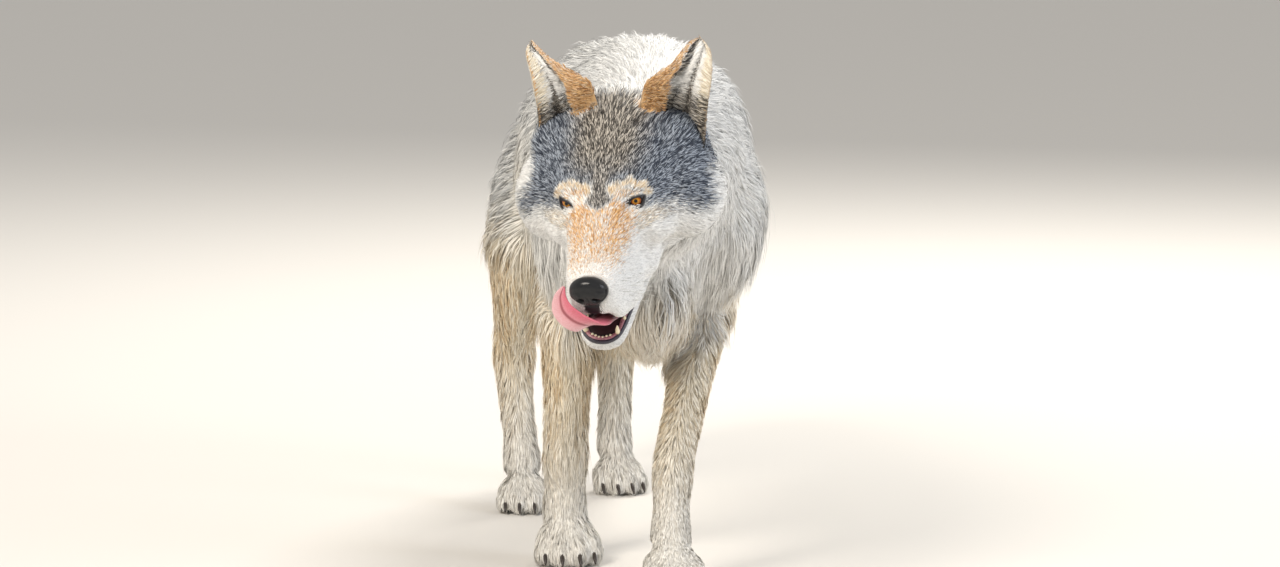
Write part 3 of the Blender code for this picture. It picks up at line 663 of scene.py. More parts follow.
for side in (1, -1):
    leaf, on_leaf, back = ear_leaf(side)
    leaf = placed(HEAD, leaf)
    grid = leaf.reshape(2, EAR_ROWS, EAR_COLUMNS + 1, 3)
    rising = unit(np.gradient(grid, axis=1) + 1e-12).reshape(-1, 3)
    crossing = unit(np.gradient(grid, axis=2) + 1e-12).reshape(-1, 3)
    hollow = 1 - back
    up_it, from_band, from_outer = on_leaf.values()
    across_it = np.maximum(from_band, 0) / np.maximum(from_band + from_outer, 1)
    in_band = 1 - ramp(from_band, -3, 1)
    inward = np.where(across_it < EAR_PARTING, 1.0, -1.0) * hollow * (1 - 0.8 * in_band)
    # long pale hair crosses the hollow, and rusty hair thickens the band's foot
    long_hair = (1 - ramp(up_it, 0.55, 0.95)) * (1 - ramp(across_it, 0.34, 0.60))
    long_hair *= ramp(from_band, 0, 4)
    by_edge = ramp(across_it, 0.76, 0.90) * (1 - ramp(up_it, 0.3, 0.8))
    long_hair = hollow * np.maximum(long_hair, by_edge)
    foot = (1 - ramp(up_it, 0.20, 0.60)) * in_band
    sparse = hollow * ramp(across_it, 0.5, 0.62) * (1 - ramp(across_it, 0.72, 0.8))
    climbing = back + hollow * np.interp(up_it, [0, 0.5, 1], [0.1, 0.5, 1.0])
    add_to_hide(
        leaf,
        ear_quads(side),
        depth=(1.3 + 4.5 * long_hair + 4.0 * foot) * MM,
        length=(3.8 + 14 * long_hair + 8 * foot) * MM,
        width=(0.70 + 0.25 * long_hair) * MM,
        number=(150 - 60 * sparse) * ramp(up_it, -0.12, 0.0),
        way=unit(rising * climbing[:, None] + crossing * (0.9 * inward)[:, None]),
        ear=1.0 + back,
        home=len(kinds),
        share=np.zeros((len(leaf), len(kinds))),
        **on_leaf,
    )
hide_points, hide_quads = np.concatenate(hide_points), np.concatenate(hide_quads)
used, hide_quads = np.unique(hide_quads.ravel(), return_inverse=True)
hide_points, hide_quads = hide_points[used], hide_quads.reshape(-1, 4)
fields = {name: np.concatenate(rows)[used] for name, rows in fields.items()}
hide_normals = vertex_normals(hide_points, hide_quads)

# Thicker and longer hair stands against the foot of each ear on its inner side.
MOUND_AT, MOUND_SIZE = (42, -108, 78), (15, 15, 20)
hide_at = within(HEAD, hide_points)
either_side = np.column_stack([np.abs(hide_at[:, 0]), hide_at[:, 1:]])
not_ear = fields["ear"] == 0
mound = np.exp(-(((either_side - MOUND_AT) / MOUND_SIZE) ** 2).sum(1)) * not_ear
fields["depth"] += 7 * MM * mound
fields["length"] += 8 * MM * mound
up_and_out = turned(np.sign(hide_at[:, :1]) * (0.5, 0, 0) + (0, -0.3, 0.9))
fields["way"] = tangent(fields["way"] + 1.6 * up_and_out * mound[:, None], hide_normals)

# A ruff of longer hair covers the edge of the cheeks.
ruff = ramp(either_side[:, 0], 66, 104) * ramp(-hide_at[:, 1], 5, 50)
ruff *= (1 - ramp(hide_at[:, 2], -20, 8)) * not_ear * (fields["home"] != kinds.index("neck"))
fields["depth"] += 4 * MM * ruff
fields["length"] += 16 * MM * ruff


# -- Markings
# A stroke is a soft line through points of the face, drawn on both sides at once.
def stroke(points, path, radius, soft):
    """1 within radius of the path, fading to 0 over soft, in millimetres."""
    nearest = np.full(len(points), 1e9)
    for one, other in zip(np.array(path[:-1], float), np.array(path[1:], float)):
        along = other - one
        t = np.clip(((points - one) @ along) / (along @ along), 0, 1)[:, None]
        nearest = np.minimum(nearest, np.linalg.norm(points - one - t * along, axis=1))
    return 1 - ramp(nearest, radius, radius + soft)


def ripple(points, size):
    """Smooth noise from -1 to 1, from waves of about this length in metres."""
    total = np.zeros(len(points))
    for k in range(5):
        direction = np.array([math.sin(2.3 * k + 0.4), math.cos(1.7 * k), math.sin(3.1 * k + 1.9)])
        total += np.sin(points @ direction * math.tau / size * (1 + 0.23 * k) + 1.3 * k)
    return total / 3


BROW = [(15, 21, 22), (25, 14, 26), (36, 9, 27), (48, 8, 22), (57, 9, 14)]
UNDER_BROW = [(22, 21, 18), (34, 18, 19), (44, 16, 16)]
WEDGE = [(0, -60, 60), (0, 0, 42), (0, 22, 27), (0, 32, 19)]
UNDER_EYE = [(42, 32, -14), (50, 27, -13), (60, 18, -10), (74, 4, -10)]
EAR_FOOT_INNER = [(36, -104, 62), (42, -120, 78), (50, -146, 82)]
EAR_FOOT_OUTER = [(104, -84, -4), (108, -92, 20)]
RUFFLED = 2.6  # millimetres by which the markings' borders wander, in waves of these lengths
WAVES = (0.031, 0.027, 0.035)


def marks(points, normals, share, ear, ear_up, ear_inner, ear_outer):
    """How much of each colour of the coat grows at each point, from 0 to 1."""
    face = within(HEAD, points)
    face += RUFFLED * np.stack([ripple(points + k, size) for k, size in enumerate(WAVES)], 1)
    wide, ahead, high = np.abs(face[:, 0]), face[:, 1], face[:, 2]
    mirrored = np.stack([wide, ahead, high], 1)
    part = dict(zip(kinds, share.T))
    on_head = part["head"] + part["lower_jaw"]
    in_front = 1 - ramp(-ahead, 104, 148)

    # a dark mask over the brow and the temples, ticked brown and grey on the middle of the crown
    temple = -2 - 0.50 * np.maximum(wide - 60, 0)
    slate = ramp(high, temple - 24, temple + 20) * (1 - ramp(ahead, 6, 30)) * in_front
    edge = np.where(face[:, 0] < 0, np.interp(high, [-42, 20], [74, 98]), 116)
    slate *= 1 - ramp(wide, edge - 12, edge + 9) * ramp(-ahead, 15, 45)
    wedge = stroke(mirrored, WEDGE, 7, 11)
    slate = np.maximum(slate, wedge)
    pepper = on_head * (1 - ramp(wide, 18, 62)) * ramp(high, 20, 48)
    pepper = np.maximum(pepper, 0.8 * on_head * wedge)

    # buff spots over the eyes, rust down the muzzle to a line along its side, and white cheeks
    under_brow = 0.6 * stroke(mirrored, UNDER_BROW, 3.0, 6.0)
    brow = np.maximum(stroke(mirrored, BROW, 1.5, 7.0), under_brow)
    side_line = np.interp(ahead, [10, 30, 70, 118], [0, -8, -21, -26])
    rust = ramp(high, side_line - 20, side_line + 16) * ramp(ahead, 14, 40) * (1 - wedge)
    rust *= 0.58 + 0.16 * ramp(wide, 8, 26) + 0.12 * ripple(points, 0.024)
    rust *= 1 - 0.45 * ramp(ahead, 96, 122)
    under_eye = 0.85 * stroke(mirrored, UNDER_EYE, 6, 10)
    slate *= (1 - brow) * on_head
    brow *= 0.75 * on_head
    rust = np.maximum(rust, 0.5 * stroke(mirrored, UNDER_BROW, 2.0, 5.0))
    rust *= part["head"]
    white = np.clip(1 - slate - rust - brow - under_eye, 0, 1) * on_head
    white *= 1 - ramp(-ahead, 55, 130) * 0.6

    # the trunk is pale grey and cream, whiter in front, with black-tipped hairs along the back
    top = ramp(normals[:, 2], -0.10, 0.75)
    out = ramp(np.abs(normals[:, 0]), 0.15, 0.75)
    height = points[:, 2]
    front = 1 - ramp(points[:, 1], -0.40, 0.05)
    trunk = part["chest"] + part["hindquarters"] + part["neck"]
    leg = part["foreleg"] + part["gaskin"] + part["hock"] + part["forepaw"] + part["hindpaw"]
    leg += (part["hindquarters"] + part["chest"]) * (1 - ramp(height, 0.35, 0.46)) * out * 0.8
    patchy = ramp(ripple(points, 0.19), 0.0, 0.9)
    lower_leg = 1 - ramp(height, 0.05, 0.30)
    brisket = part["chest"] * (1 - ramp(height, 0.34, 0.40)) * (1 - ramp(points[:, 1], -0.14, 0.0))
    buff = leg * (0.10 + 0.42 * out) * (1 - 0.60 * lower_leg) + trunk * 0.12 * patchy * (1 - top)
    buff = np.maximum(buff, 0.40 * brisket + 0.5 * under_eye * on_head)
    cream = leg * (0.90 - 0.35 * lower_leg) + trunk * (0.55 - 0.40 * front) * (1 - top)
    dusk = trunk * top * (0.75 - 0.45 * front) + 0.5 * under_eye * on_head
    dusk += part["tail"] * (0.45 + 0.5 * (1 - ramp(height, 0.25, 0.33)))
    white = np.maximum(white, trunk * ramp(-normals[:, 2], 0.3, 0.9) * (1 - brisket) * 0.8)
    white = np.maximum(white, leg * lower_leg * 0.5 + trunk * front * 0.55)

    # ears: rust behind and in the inner band, a dark line inside it, pale hair in the hollow, and
    # painted shade at the foot of the hollow
    behind, hollow = (ear == 2).astype(float), (ear == 1).astype(float)
    lower = 1 - np.clip(ear_up, 0, 1)
    band = 1 - ramp(ear_inner, -1.5, 1.0)
    line = (1 - band) * (1 - ramp(ear_inner, 3.5, 9)) * ramp(ear_up, 0.05, 0.30)
    outer_line = ramp(ear_outer, 1.0, 2.2) * (1 - ramp(ear_outer, 3.0, 6.5))
    outer_line *= ramp(ear_up, 0.40, 0.75)
    across = np.maximum(ear_inner, 0) / np.maximum(ear_inner + ear_outer, 1)
    core = 0.75 * np.exp(-(((across - EAR_PARTING) / 0.09) ** 2)) * (1 - ramp(ear_up, 0.35, 0.65))
    # the foot of the hollow is painted dark: painted shade deep in the ear
    in_shade = 0.8 * (1 - ramp(ear_up, -0.02, 0.14)) * (1 - band)
    line = hollow * np.clip(0.9 * line + 0.7 * outer_line + core + in_shade, 0, 1)
    outer_rim = hollow * (1 - ramp(ear_outer, 1.5, 4.0))
    inner_foot = stroke(mirrored, EAR_FOOT_INNER, 9, 14)
    outer_foot = stroke(mirrored, EAR_FOOT_OUTER, 9, 10) * np.where(face[:, 0] > 0, 0.5, 0.1)
    pepper = np.maximum(pepper, hollow)
    rust = np.maximum(rust, behind * 0.85 + hollow * band * (0.60 + 0.40 * lower))
    rust = np.maximum(rust, inner_foot * (on_head + part["neck"]) * 0.95)
    rust = np.maximum(rust, outer_foot * on_head)
    dusk = np.maximum(dusk, behind * (0.25 + 0.6 * ramp(ear_up, 0.70, 0.95)))
    slate = slate * (1 - 0.9 * inner_foot)
    slate = np.maximum(slate, np.maximum(line, hollow * band * 0.30))
    cream = np.maximum(cream, 0.8 * outer_rim + 0.5 * hollow * band * (1 - lower))
    white = np.maximum(white, hollow * (1 - line) * (1 - band) * (1 - outer_rim))
    rows = {"slate": slate, "pepper": pepper, "rust": rust, "brow": brow, "white": white}
    rows |= {"cream": cream, "buff": buff, "dusk": dusk}
    return {name: np.clip(row, 0, 1) for name, row in rows.items()}


def hex_colour(text):
    """An sRGB hex value as the linear colour that a shader takes."""
    channels = [int(text[i : i + 2], 16) / 255 for i in (1, 3, 5)]
    return (*[c / 12.92 if c <= 0.04045 else ((c + 0.055) / 1.055) ** 2.4 for c in channels], 1.0)


def add(material, kind, inputs=(), out=0, to=None, **settings):
    """Adds a node with its settings and inputs, and returns one of its outputs.

    Inputs are numbers, hex colours or outputs of other nodes, in order or by name. The output is
    also linked to the shader's socket called `to`, if one is given.
    """
    nodes, links = material.node_tree.nodes, material.node_tree.links
    made = nodes.new("ShaderNode" + kind)
    for name, value in settings.items():
        setattr(made, name, value)
    for name, value in inputs.items() if isinstance(inputs, dict) else enumerate(inputs):
        if isinstance(value, bpy.types.NodeSocket):
            links.new(value, made.inputs[name])
        else:
            made.inputs[name].default_value = hex_colour(value) if isinstance(value, str) else value
    if to:
        links.new(made.outputs[out], nodes["Principled BSDF"].inputs[to])
    return made.outputs[out]


def new_material(name, shader_values):
    """A material with these values on its shader's own sockets."""
    material = bpy.data.materials.new(name)
    material.use_nodes = True
    shader = material.node_tree.nodes["Principled BSDF"]
    for socket, value in shader_values.items():
        shader.inputs[socket].default_value = value
    return material


# What the inputs and the output of a colour mix are, and the settings of two kinds of node.
FACTOR, ONE, OTHER, MIXED = 0, 6, 7, 2
COLOURS = {"data_type": "RGBA"}
TINTED = {"data_type": "RGBA", "blend_type": "MULTIPLY"}
SMOOTH = {"interpolation_type": "SMOOTHSTEP"}
NUMBER = 2  # the output of an attribute that is a plain number

# A marking's name, its darkest and palest hair, and how far hairs of it scatter over its border.
HAIR_COLOURS = (
    ("cream", "#d3c5a8", "#f6efdf", 0.0),
    ("buff", "#c9a676", "#f0deba", 0.5),
    ("white", "#dededc", "#fdfdfb", 0.0),
    ("brow", "#bd9f76", "#ecdcc0", 0.7),
    ("rust", "#b07a42", "#eac18a", 0.8),
)
GREY_HAIR = ("#b4b7b9", "#f2f2ef")
MASK_SCATTER = 0.6


def coat_colour(material):
    """The colour of a wolf's hair from its markings, its own chance, and how far along it is."""
    scatters = {marking: scatter for marking, _, _, scatter in HAIR_COLOURS}
    scatters["slate"] = MASK_SCATTER
    known = {
        name: add(material, "Attribute", out=NUMBER, attribute_name=name)
        for name in ("along", "chance", "pepper", "dusk", *scatters)
    }
    along, chance = known["along"], known["chance"]
    other_chance = add(material, "Math", [chance, 7.31], operation="MULTIPLY")
    other_chance = add(material, "Math", [other_chance], operation="FRACT")
    off_middle = add(material, "Math", [other_chance, 0.5], operation="SUBTRACT")

    # each of these climbs smoothly from 0 to 1 as its number goes from low to high
    climbs = {
        "pale": (chance, 0.10, 0.75),
        "band": (along, 0.25, 0.50),
        "banded": (chance, 0.42, 0.74),
        "end": (along, 0.50, 0.80),
        "ended": (other_chance, 0.35, 0.60),
    }
    for marking, scatter in scatters.items():
        # where a marking fades out, it is in some hairs and not in others
        nudge = add(material, "Math", [off_middle, scatter], operation="MULTIPLY")
        shifted = add(material, "Math", [known[marking], nudge], operation="ADD")
        climbs[marking] = (shifted, 0.4 * scatter, 1 - 0.3 * scatter)
    part = {name: add(material, "MapRange", row, **SMOOTH) for name, row in climbs.items()}

    dark, light = GREY_HAIR
    result = add(material, "Mix", {FACTOR: part["pale"], ONE: dark, OTHER: light}, MIXED, **COLOURS)
    for marking, dark, light, _ in HAIR_COLOURS:
        hairs = {FACTOR: part["pale"], ONE: dark, OTHER: light}
        hairs = add(material, "Mix", hairs, MIXED, **COLOURS)
        marked = {FACTOR: part[marking], ONE: result, OTHER: hairs}
        result = add(material, "Mix", marked, MIXED, **COLOURS)
    # the mask is black hair ticked with pale bands, bluish at the temples and brown on the crown
    tick = add(material, "Math", [part["band"], part["banded"]], operation="MULTIPLY")
    dark, light = (
        add(material, "Mix", {FACTOR: known["pepper"], ONE: one, OTHER: other}, MIXED, **COLOURS)
        for one, other in (("#333a47", "#48443f"), ("#a2abb7", "#c4bdb2"))
    )
    mask = add(material, "Mix", {FACTOR: tick, ONE: dark, OTHER: light}, MIXED, **COLOURS)
    masked = {FACTOR: part["slate"], ONE: result, OTHER: mask}
    result = add(material, "Mix", masked, MIXED, **COLOURS)
    # guard hairs of the saddle and the tail end in black
    tip = add(material, "Math", [part["end"], part["ended"]], operation="MULTIPLY")
    tip = add(material, "Math", [tip, known["dusk"]], operation="MULTIPLY")
    result = add(material, "Mix", {FACTOR: tip, ONE: result, OTHER: "#26262b"}, MIXED, **COLOURS)
    # and every hair is painted a little darker at its root: painted shade, as deep in a coat
    shade = {"Value": along, "From Max": 0.6, "To Min": 0.86, "To Max": 1.0}
    shade = add(material, "MapRange", shade)
    return add(material, "Mix", {FACTOR: 1.0, ONE: result, OTHER: shade}, MIXED, **TINTED)


def two_toned(material, number, low, high, one, other):
    """Colours a surface from one colour to the other, as a number goes from low to high."""
    climb = add(material, "MapRange", [number, low, high], **SMOOTH)
    ends = {FACTOR: climb, ONE: one, OTHER: other}
    add(material, "Mix", ends, MIXED, "Base Color", **COLOURS)


def set_numbers(mesh, rows):
    """Writes numbers at a mesh's points, for its material to read by name."""
    for name, values in rows.items():
        made = mesh.attributes.new(name, "FLOAT", "POINT")
        made.data.foreach_set("value", values.astype(np.float32))


def mesh_of(name, points, loops, starts, smooth=True):
    """A mesh from numpy rows of points, corners and where each face starts."""
    mesh = bpy.data.meshes.new(name)
    mesh.vertices.add(len(points))
    mesh.vertices.foreach_set("co", points.astype(np.float32).ravel())
    mesh.loops.add(len(loops))
    mesh.loops.foreach_set("vertex_index", loops.astype(np.int32))
    mesh.polygons.add(len(starts))
    mesh.polygons.foreach_set("loop_start", starts.astype(np.int32))
    mesh.update(calc_edges=True)
    if smooth:
        mesh.shade_smooth()
    return mesh


def piece(name, mesh, material, replaces=()):
    """An object of the wolf: it rides on the one body, and may stand for CAD solids."""
    obj = bpy.data.objects.new(name, mesh)
    scene.collection.objects.link(obj)
    mesh.materials.append(material)
    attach(obj, "root")
    if replaces:
        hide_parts(*replaces)
    return obj


# -- The hide's own material
# Skin shows only as black leather on the lips, the eyelids and the pads, and in the mouth as wet
# flesh painted a very dark red, as painted shade inside the mouth; elsewhere it is the ground under
# the hair, in the hair's own colours. Its grain of pores keeps the bare parts from looking like
# rubber.
hide = new_material("hide_wolf_skin", {"Roughness": 0.50, "Specular IOR Level": 0.45})
in_mouth, on_leather = (
    add(hide, "Attribute", out=NUMBER, attribute_name=name) for name in ("mouth", "leather")
)
# deeper in the mouth the lining goes from black leather to very dark red: painted shade inside the
# mouth
deep = add(hide, "MapRange", [in_mouth, 0.55, 0.95], **SMOOTH)
leather_and_mouth_shade = add(hide, "Mix", {FACTOR: deep, ONE: "#17151b", OTHER: "#32161a"}, MIXED, **COLOURS)
ground = {FACTOR: on_leather, ONE: coat_colour(hide), OTHER: leather_and_mouth_shade}
ground = add(hide, "Mix", ground, MIXED, **COLOURS)
pores = add(hide, "TexNoise", {"Scale": 700.0, "Detail": 4.0})  # 1.4 mm apart
grain = add(hide, "MapRange", [pores, 0.2, 0.8], **SMOOTH)
grained = {FACTOR: 0.25, ONE: ground, OTHER: grain}
add(hide, "Mix", grained, MIXED, "Base Color", **TINTED)
add(hide, "Bump", {"Strength": 0.35, "Distance": 0.0006, "Height": pores}, to="Normal")

EAR_FIELDS = ("ear", "ear_up", "ear_inner", "ear_outer")
on_ear = {name: fields[name] for name in EAR_FIELDS}
hide_mesh = mesh_of("skin", hide_points, hide_quads.ravel(), np.arange(len(hide_quads)) * 4)
set_numbers(hide_mesh, marks(hide_points, hide_normals, fields["share"], **on_ear))
set_numbers(hide_mesh, {"along": np.full(len(hide_points), 0.45)})
set_numbers(hide_mesh, {"chance": 0.5 + 0.2 * ripple(hide_points, 0.011)})
set_numbers(hide_mesh, {"leather": fields["leather"], "mouth": fields["mouth"]})
piece("skin", hide_mesh, hide, flesh + ["ear_left", "ear_right"])


# ---- Eyes --------------------------------------------------------------------------------------
# Glass eyes: a dark brown globe, an amber iris with fine fibres round a black pupil, and a clear
# domed cornea over it. Each looks a little its own way.
GAZES = {1: (0.10, 0.967, 0.242), -1: (-0.177, 0.976, 0.153)}
CORNEA_RADIUS, CORNEA_HEIGHT = 7.2, 0.9
EYE_GRID = (61, 96)
BACK_OF_EYE = 12.0  # written as the distance from the axis behind the iris


def ball_grid(rings, columns):
    """Directions over a ball from its front pole to its back one: aside, ahead, up."""
    polar = np.linspace(0, math.pi, rings)[:, None]
    turn = np.arange(columns)[None, :] / columns * math.tau
    rows = (np.sin(polar) * np.cos(turn), np.cos(polar) + 0 * turn, np.sin(polar) * np.sin(turn))
    return np.stack(rows, -1).reshape(-1, 3), np.tile(turn, (rings, 1)).ravel()


def closed_mesh(name, points, quads):
    """A mesh whose faces look outwards."""
    a, b, c, d = (points[quads[:, k]] for k in range(4))
    volume = (np.cross(c - a, d - b) * (a - points.mean(0))).sum()
    quads = quads if volume > 0 else quads[:, ::-1]
    return mesh_of(name, points, quads.ravel(), np.arange(len(quads)) * 4)


# Painted glass: the colour lies under a clear hard surface, which gives the one bright glint.
glass = {"Roughness": 0.4, "Specular IOR Level": 0.05}
glass |= {"Coat Weight": 1.0, "Coat Roughness": 0.02, "Coat IOR": 1.38}
eye_glass = new_material("glass_painted_eye", glass)
from_axis, fibre = (
    add(eye_glass, "Attribute", out=NUMBER, attribute_name=name) for name in ("from_axis", "fibre")
)
iris = add(eye_glass, "Mix", {FACTOR: fibre, ONE: "#74430f", OTHER: "#d89a2c"}, MIXED, **COLOURS)
# outwards in millimetres: the browner outer iris, its dark rim, the pupil's edge, and the globe
climbs = [(3.0, 5.6), (5.3, 6.7), (2.0, 2.4), (7.0, 9.5)]
outer_iris, iris_rim, past_pupil, globe = (
    add(eye_glass, "MapRange", [from_axis, low, high], **SMOOTH) for low, high in climbs
)
for factor, one, other, blend in (
    (outer_iris, None, "#c8925a", TINTED),
    (iris_rim, None, "#150d08", COLOURS),
    (past_pupil, "#030303", None, COLOURS),
    (globe, None, "#3b2a20", COLOURS),
):
    ends = {FACTOR: factor, ONE: one or iris, OTHER: other or iris}
    iris = add(eye_glass, "Mix", ends, MIXED, "Base Color", **blend)
for side, gaze in GAZES.items():
    node = LID_SIDES[side]["node"]
    middle = within(HEAD, np.array([middle_of(node)]))[0]
    outwards, upwards, out_of = eye_axes(side, gaze, 0)
    ways, turn = ball_grid(*EYE_GRID)
    flat = EYEBALL * np.hypot(ways[:, 0], ways[:, 2])
    dome = CORNEA_HEIGHT * (1 - np.clip(flat / CORNEA_RADIUS, 0, 1) ** 2) ** 2 * (ways[:, 1] > 0)
    rows = ways * (EYEBALL + dome)[:, None]
    points = middle + rows[:, :1] * outwards + rows[:, 1:2] * out_of + rows[:, 2:] * upwards
    mesh = closed_mesh(node, placed(HEAD, points), ring_quads(*EYE_GRID))
    fibres = 0.5 + 0.22 * np.sin(23 * turn + 1.1 * flat) + 0.16 * np.sin(41 * turn - 0.7 * flat)
    fibres += 0.12 * np.sin(9 * turn)
    out_from_axis = np.where(ways[:, 1] > 0, flat, BACK_OF_EYE)
    set_numbers(mesh, {"from_axis": out_from_axis, "fibre": fibres})
    piece(node, mesh, eye_glass, [node])


# ---- Nose --------------------------------------------------------------------------------------
# Bare black pebbled leather, damp, with comma nostrils that open forward and slit to the side, and
# a groove down the middle that runs on into the lip.
NOSE_AT = (0, 139.0, -40.5)
NOSE_RADII = np.array([24.0, 14.0, 20.5])
NOSE_TURN = 14.0
NOSTRIL = [(9.0, 13.5, -2.5), (11.0, 12.8, -4.5)]
NOSTRIL_SLIT = [(11.5, 12.5, -5.0), (16.5, 10.0, -5.5), (20.5, 7.0, -1.0), (22.5, 3.5, 5.0)]
NOSTRIL_WING = [(13, 12, 4), (18, 9, 2)]
NOSE_GRID = (70, 96)

ways = ball_grid(*NOSE_GRID)[0]
body = np.sign(ways) * np.abs(ways) ** (0.86, 0.92, 0.92) * NOSE_RADII
body[:, 0] *= 1 - 0.24 * ramp(-body[:, 2], 0, 20) - 0.06 * ramp(body[:, 2], 8, 20)
mirrored = np.abs(body) * (1, 0, 0) + body * (0, 1, 1)
dent = 6.0 * stroke(mirrored, NOSTRIL, 1.6, 3.2) + 2.6 * stroke(mirrored, NOSTRIL_SLIT, 0.2, 2.2)
groove = 1.3 * np.exp(-((body[:, 0] / 1.1) ** 2)) * ramp(-body[:, 2], -6, 4) * (ways[:, 1] > 0)
wing = 1.3 * stroke(mirrored, NOSTRIL_WING, 2.5, 5.0)
body += unit(ways / NOSE_RADII) * (wing - dent - groove)[:, None]
nose_place = Matrix.Translation((0, -NOSE_AT[1] * MM, NOSE_AT[2] * MM))
nose_frame = HEAD @ nose_place @ rotation(NOSE_TURN, "X")
# Leather kept damp: a broad soft gleam over fine pebbles. The nostrils and their slits are painted
# black, as painted shade in the openings.
damp = {"Roughness": 0.45, "Specular IOR Level": 0.3, "Coat Weight": 0.35, "Coat Roughness": 0.18}
nose_leather = new_material("leather_damp_nose", damp)
pebble = add(nose_leather, "TexVoronoi", {"Scale": 950.0})  # pebbles 1 mm across
# deep in a nostril or its slit the leather is painted black: painted shade in the opening
nostril_shade = add(nose_leather, "Attribute", out=NUMBER, attribute_name="nostril_shade")
ends = {FACTOR: nostril_shade, ONE: "#0f1115", OTHER: "#030303"}
add(nose_leather, "Mix", ends, MIXED, "Base Color", **COLOURS)
add(nose_leather, "Bump", {"Strength": 0.8, "Distance": 0.0009, "Height": pebble}, to="Normal")
mesh = closed_mesh("nose", placed(nose_frame, body), ring_quads(*NOSE_GRID))
set_numbers(mesh, {"nostril_shade": np.clip(dent / 5.0, 0, 1)})
piece("nose", mesh, nose_leather, ["nose"])


# ---- Tongue ------------------------------------------------------------------------------------
# Wet pink flesh that leaves the mouth under the nose and curls up past the lip on the right, its
# edges turned in, with a fold down the middle painted in as a darker line of shade, and fine
# papillae. It is painted paler towards one edge, as painted light.
def tube(rows, reference=(0, 0, 1), sides=12, steps=4, curl=0.0):
    """An oval tube as points, faces, and how far along and how far across each point is.

    A row is left, forward, up, half width and half depth, and may end in its own reference, the
    way its upper face looks. The curl lifts both edges towards that way, in millimetres.
    """
    rows = flowing(rows, steps)
    rows = np.vstack([rows[0], rows, rows[-1]])
    rows[[0, -1], 3:5] = 0.0
    along = np.gradient(rows[1:-1, :3], axis=0)
    along = unit(np.vstack([along[0], along, along[-1]]))
    towards = rows[:, 5:8] if rows.shape[1] > 5 else np.array(reference, float)
    across = unit(np.cross(along, towards))
    high = unit(np.cross(across, along))
    turn = np.arange(sides) / sides * math.tau
    flat, deep = np.cos(turn), np.sin(turn)
    points = rows[:, None, :3] + across[:, None] * (rows[:, 3, None] * flat)[..., None]
    lifted = rows[:, 4, None] * deep + curl * flat**2 * np.minimum(rows[:, 3, None] / 10, 1)
    points = points + high[:, None] * lifted[..., None]
    share = np.repeat(np.linspace(0, 1, len(rows)), sides)
    return points.reshape(-1, 3), ring_quads(len(rows), sides), share, np.tile(flat, len(rows))


def tubes_mesh(name, parts):
    """One mesh of several tubes, each with the frame that it stands in."""
    points, quads, shares, flats = [], [], [], []
    for matrix, (rows, faces, share, flat) in parts:
        rows = placed(matrix, rows)
        a, b, c, d = (rows[faces[:, k]] for k in range(4))
        volume = (np.cross(c - a, d - b) * (a - rows.mean(0))).sum()
        quads.append((faces if volume > 0 else faces[:, ::-1]) + sum(len(p) for p in points))
        points.append(rows)
        shares.append(share)
        flats.append(flat)
    quads = np.concatenate(quads)
    mesh = mesh_of(name, np.concatenate(points), quads.ravel(), np.arange(len(quads)) * 4)
    set_numbers(mesh, {"share": np.concatenate(shares), "flat": np.concatenate(flats)})
    return mesh


TONGUE = [
    (6, -10, -100, 18.0, 5.0, 0.0, 0.0, 1.0),
    (4, 40, -112, 18.5, 5.0, 0.0, 0.0, 1.0),
    (2, 80, -109, 18.0, 4.8, 0.0, 0.0, 1.0),
    (0, 110, -99, 16.5, 4.5, 0.0, -0.1, 1.0),
    (-1, 130, -90, 16.0, 4.2, 0.1, -0.5, 0.9),
    (-10, 142, -84, 16.0, 3.6, 0.1, -1.0, 0.4),
    (-23, 146, -76, 16.5, 3.2, 0.1, -1.0, 0.0),
    (-34, 144, -63, 15.0, 2.9, 0.1, -1.0, 0.0),
    (-36, 140, -47, 8.5, 2.4, 0.1, -1.0, 0.0),
    (-31, 137, -34, 2.0, 1.2, 0.1, -1.0, 0.0),
]
# Wet flesh: a sharp gleam over a soft one, broken up by the papillae; the root is in shadow.
wet = {"Roughness": 0.38, "Coat Weight": 0.7, "Coat Roughness": 0.15}
tongue_flesh = new_material("flesh_wet_tongue", wet)
papillae = add(tongue_flesh, "TexVoronoi", {"Scale": 1600.0})  # 0.6 mm apart
blotches = add(tongue_flesh, "TexNoise", {"Scale": 90.0, "Detail": 4.0})  # patches 11 mm across
across_it, along_it = (
    add(tongue_flesh, "Attribute", out=NUMBER, attribute_name=name) for name in ("flat", "share")
)
from_middle = add(tongue_flesh, "Math", [across_it], operation="ABSOLUTE")
# a number, where it starts and ends to climb, and what it climbs from and to
painted_light_across, past_root, painted_fold_shade, pale_blotch = (
    add(tongue_flesh, "MapRange", climb, **SMOOTH)
    for climb in (
        (across_it, -0.9, 0.9),
        (along_it, 0.30, 0.48),
        (from_middle, 0.02, 0.22, 1.0, 0.0),
        (blotches, 0.35, 0.70, 1.0, 0.0),
    )
)
# one edge of the tongue is painted pale and the other deep pink: painted light falling across it
pink = {FACTOR: painted_light_across, ONE: "#f7cbd3", OTHER: "#e3748c"}
pink = add(tongue_flesh, "Mix", pink, MIXED, **COLOURS)
pink = {FACTOR: past_root, ONE: "#7e3542", OTHER: pink}
pink = add(tongue_flesh, "Mix", pink, MIXED, **COLOURS)
# the darker line down the middle is painted shade of the fold; the pale blotches are the flesh's
# own tone
for factor, tint in ((painted_fold_shade, "#b57c86"), (pale_blotch, "#f3dcd8")):
    pink = {FACTOR: factor, ONE: pink, OTHER: tint}
    pink = add(tongue_flesh, "Mix", pink, MIXED, "Base Color", **TINTED)
add(tongue_flesh, "Bump", {"Strength": 0.7, "Distance": 0.0006, "Height": papillae}, to="Normal")
mesh = tubes_mesh("tongue", [(HEAD, tube(TONGUE, sides=32, steps=8, curl=-2.6))])
piece("tongue", mesh, tongue_flesh, ["tongue"])


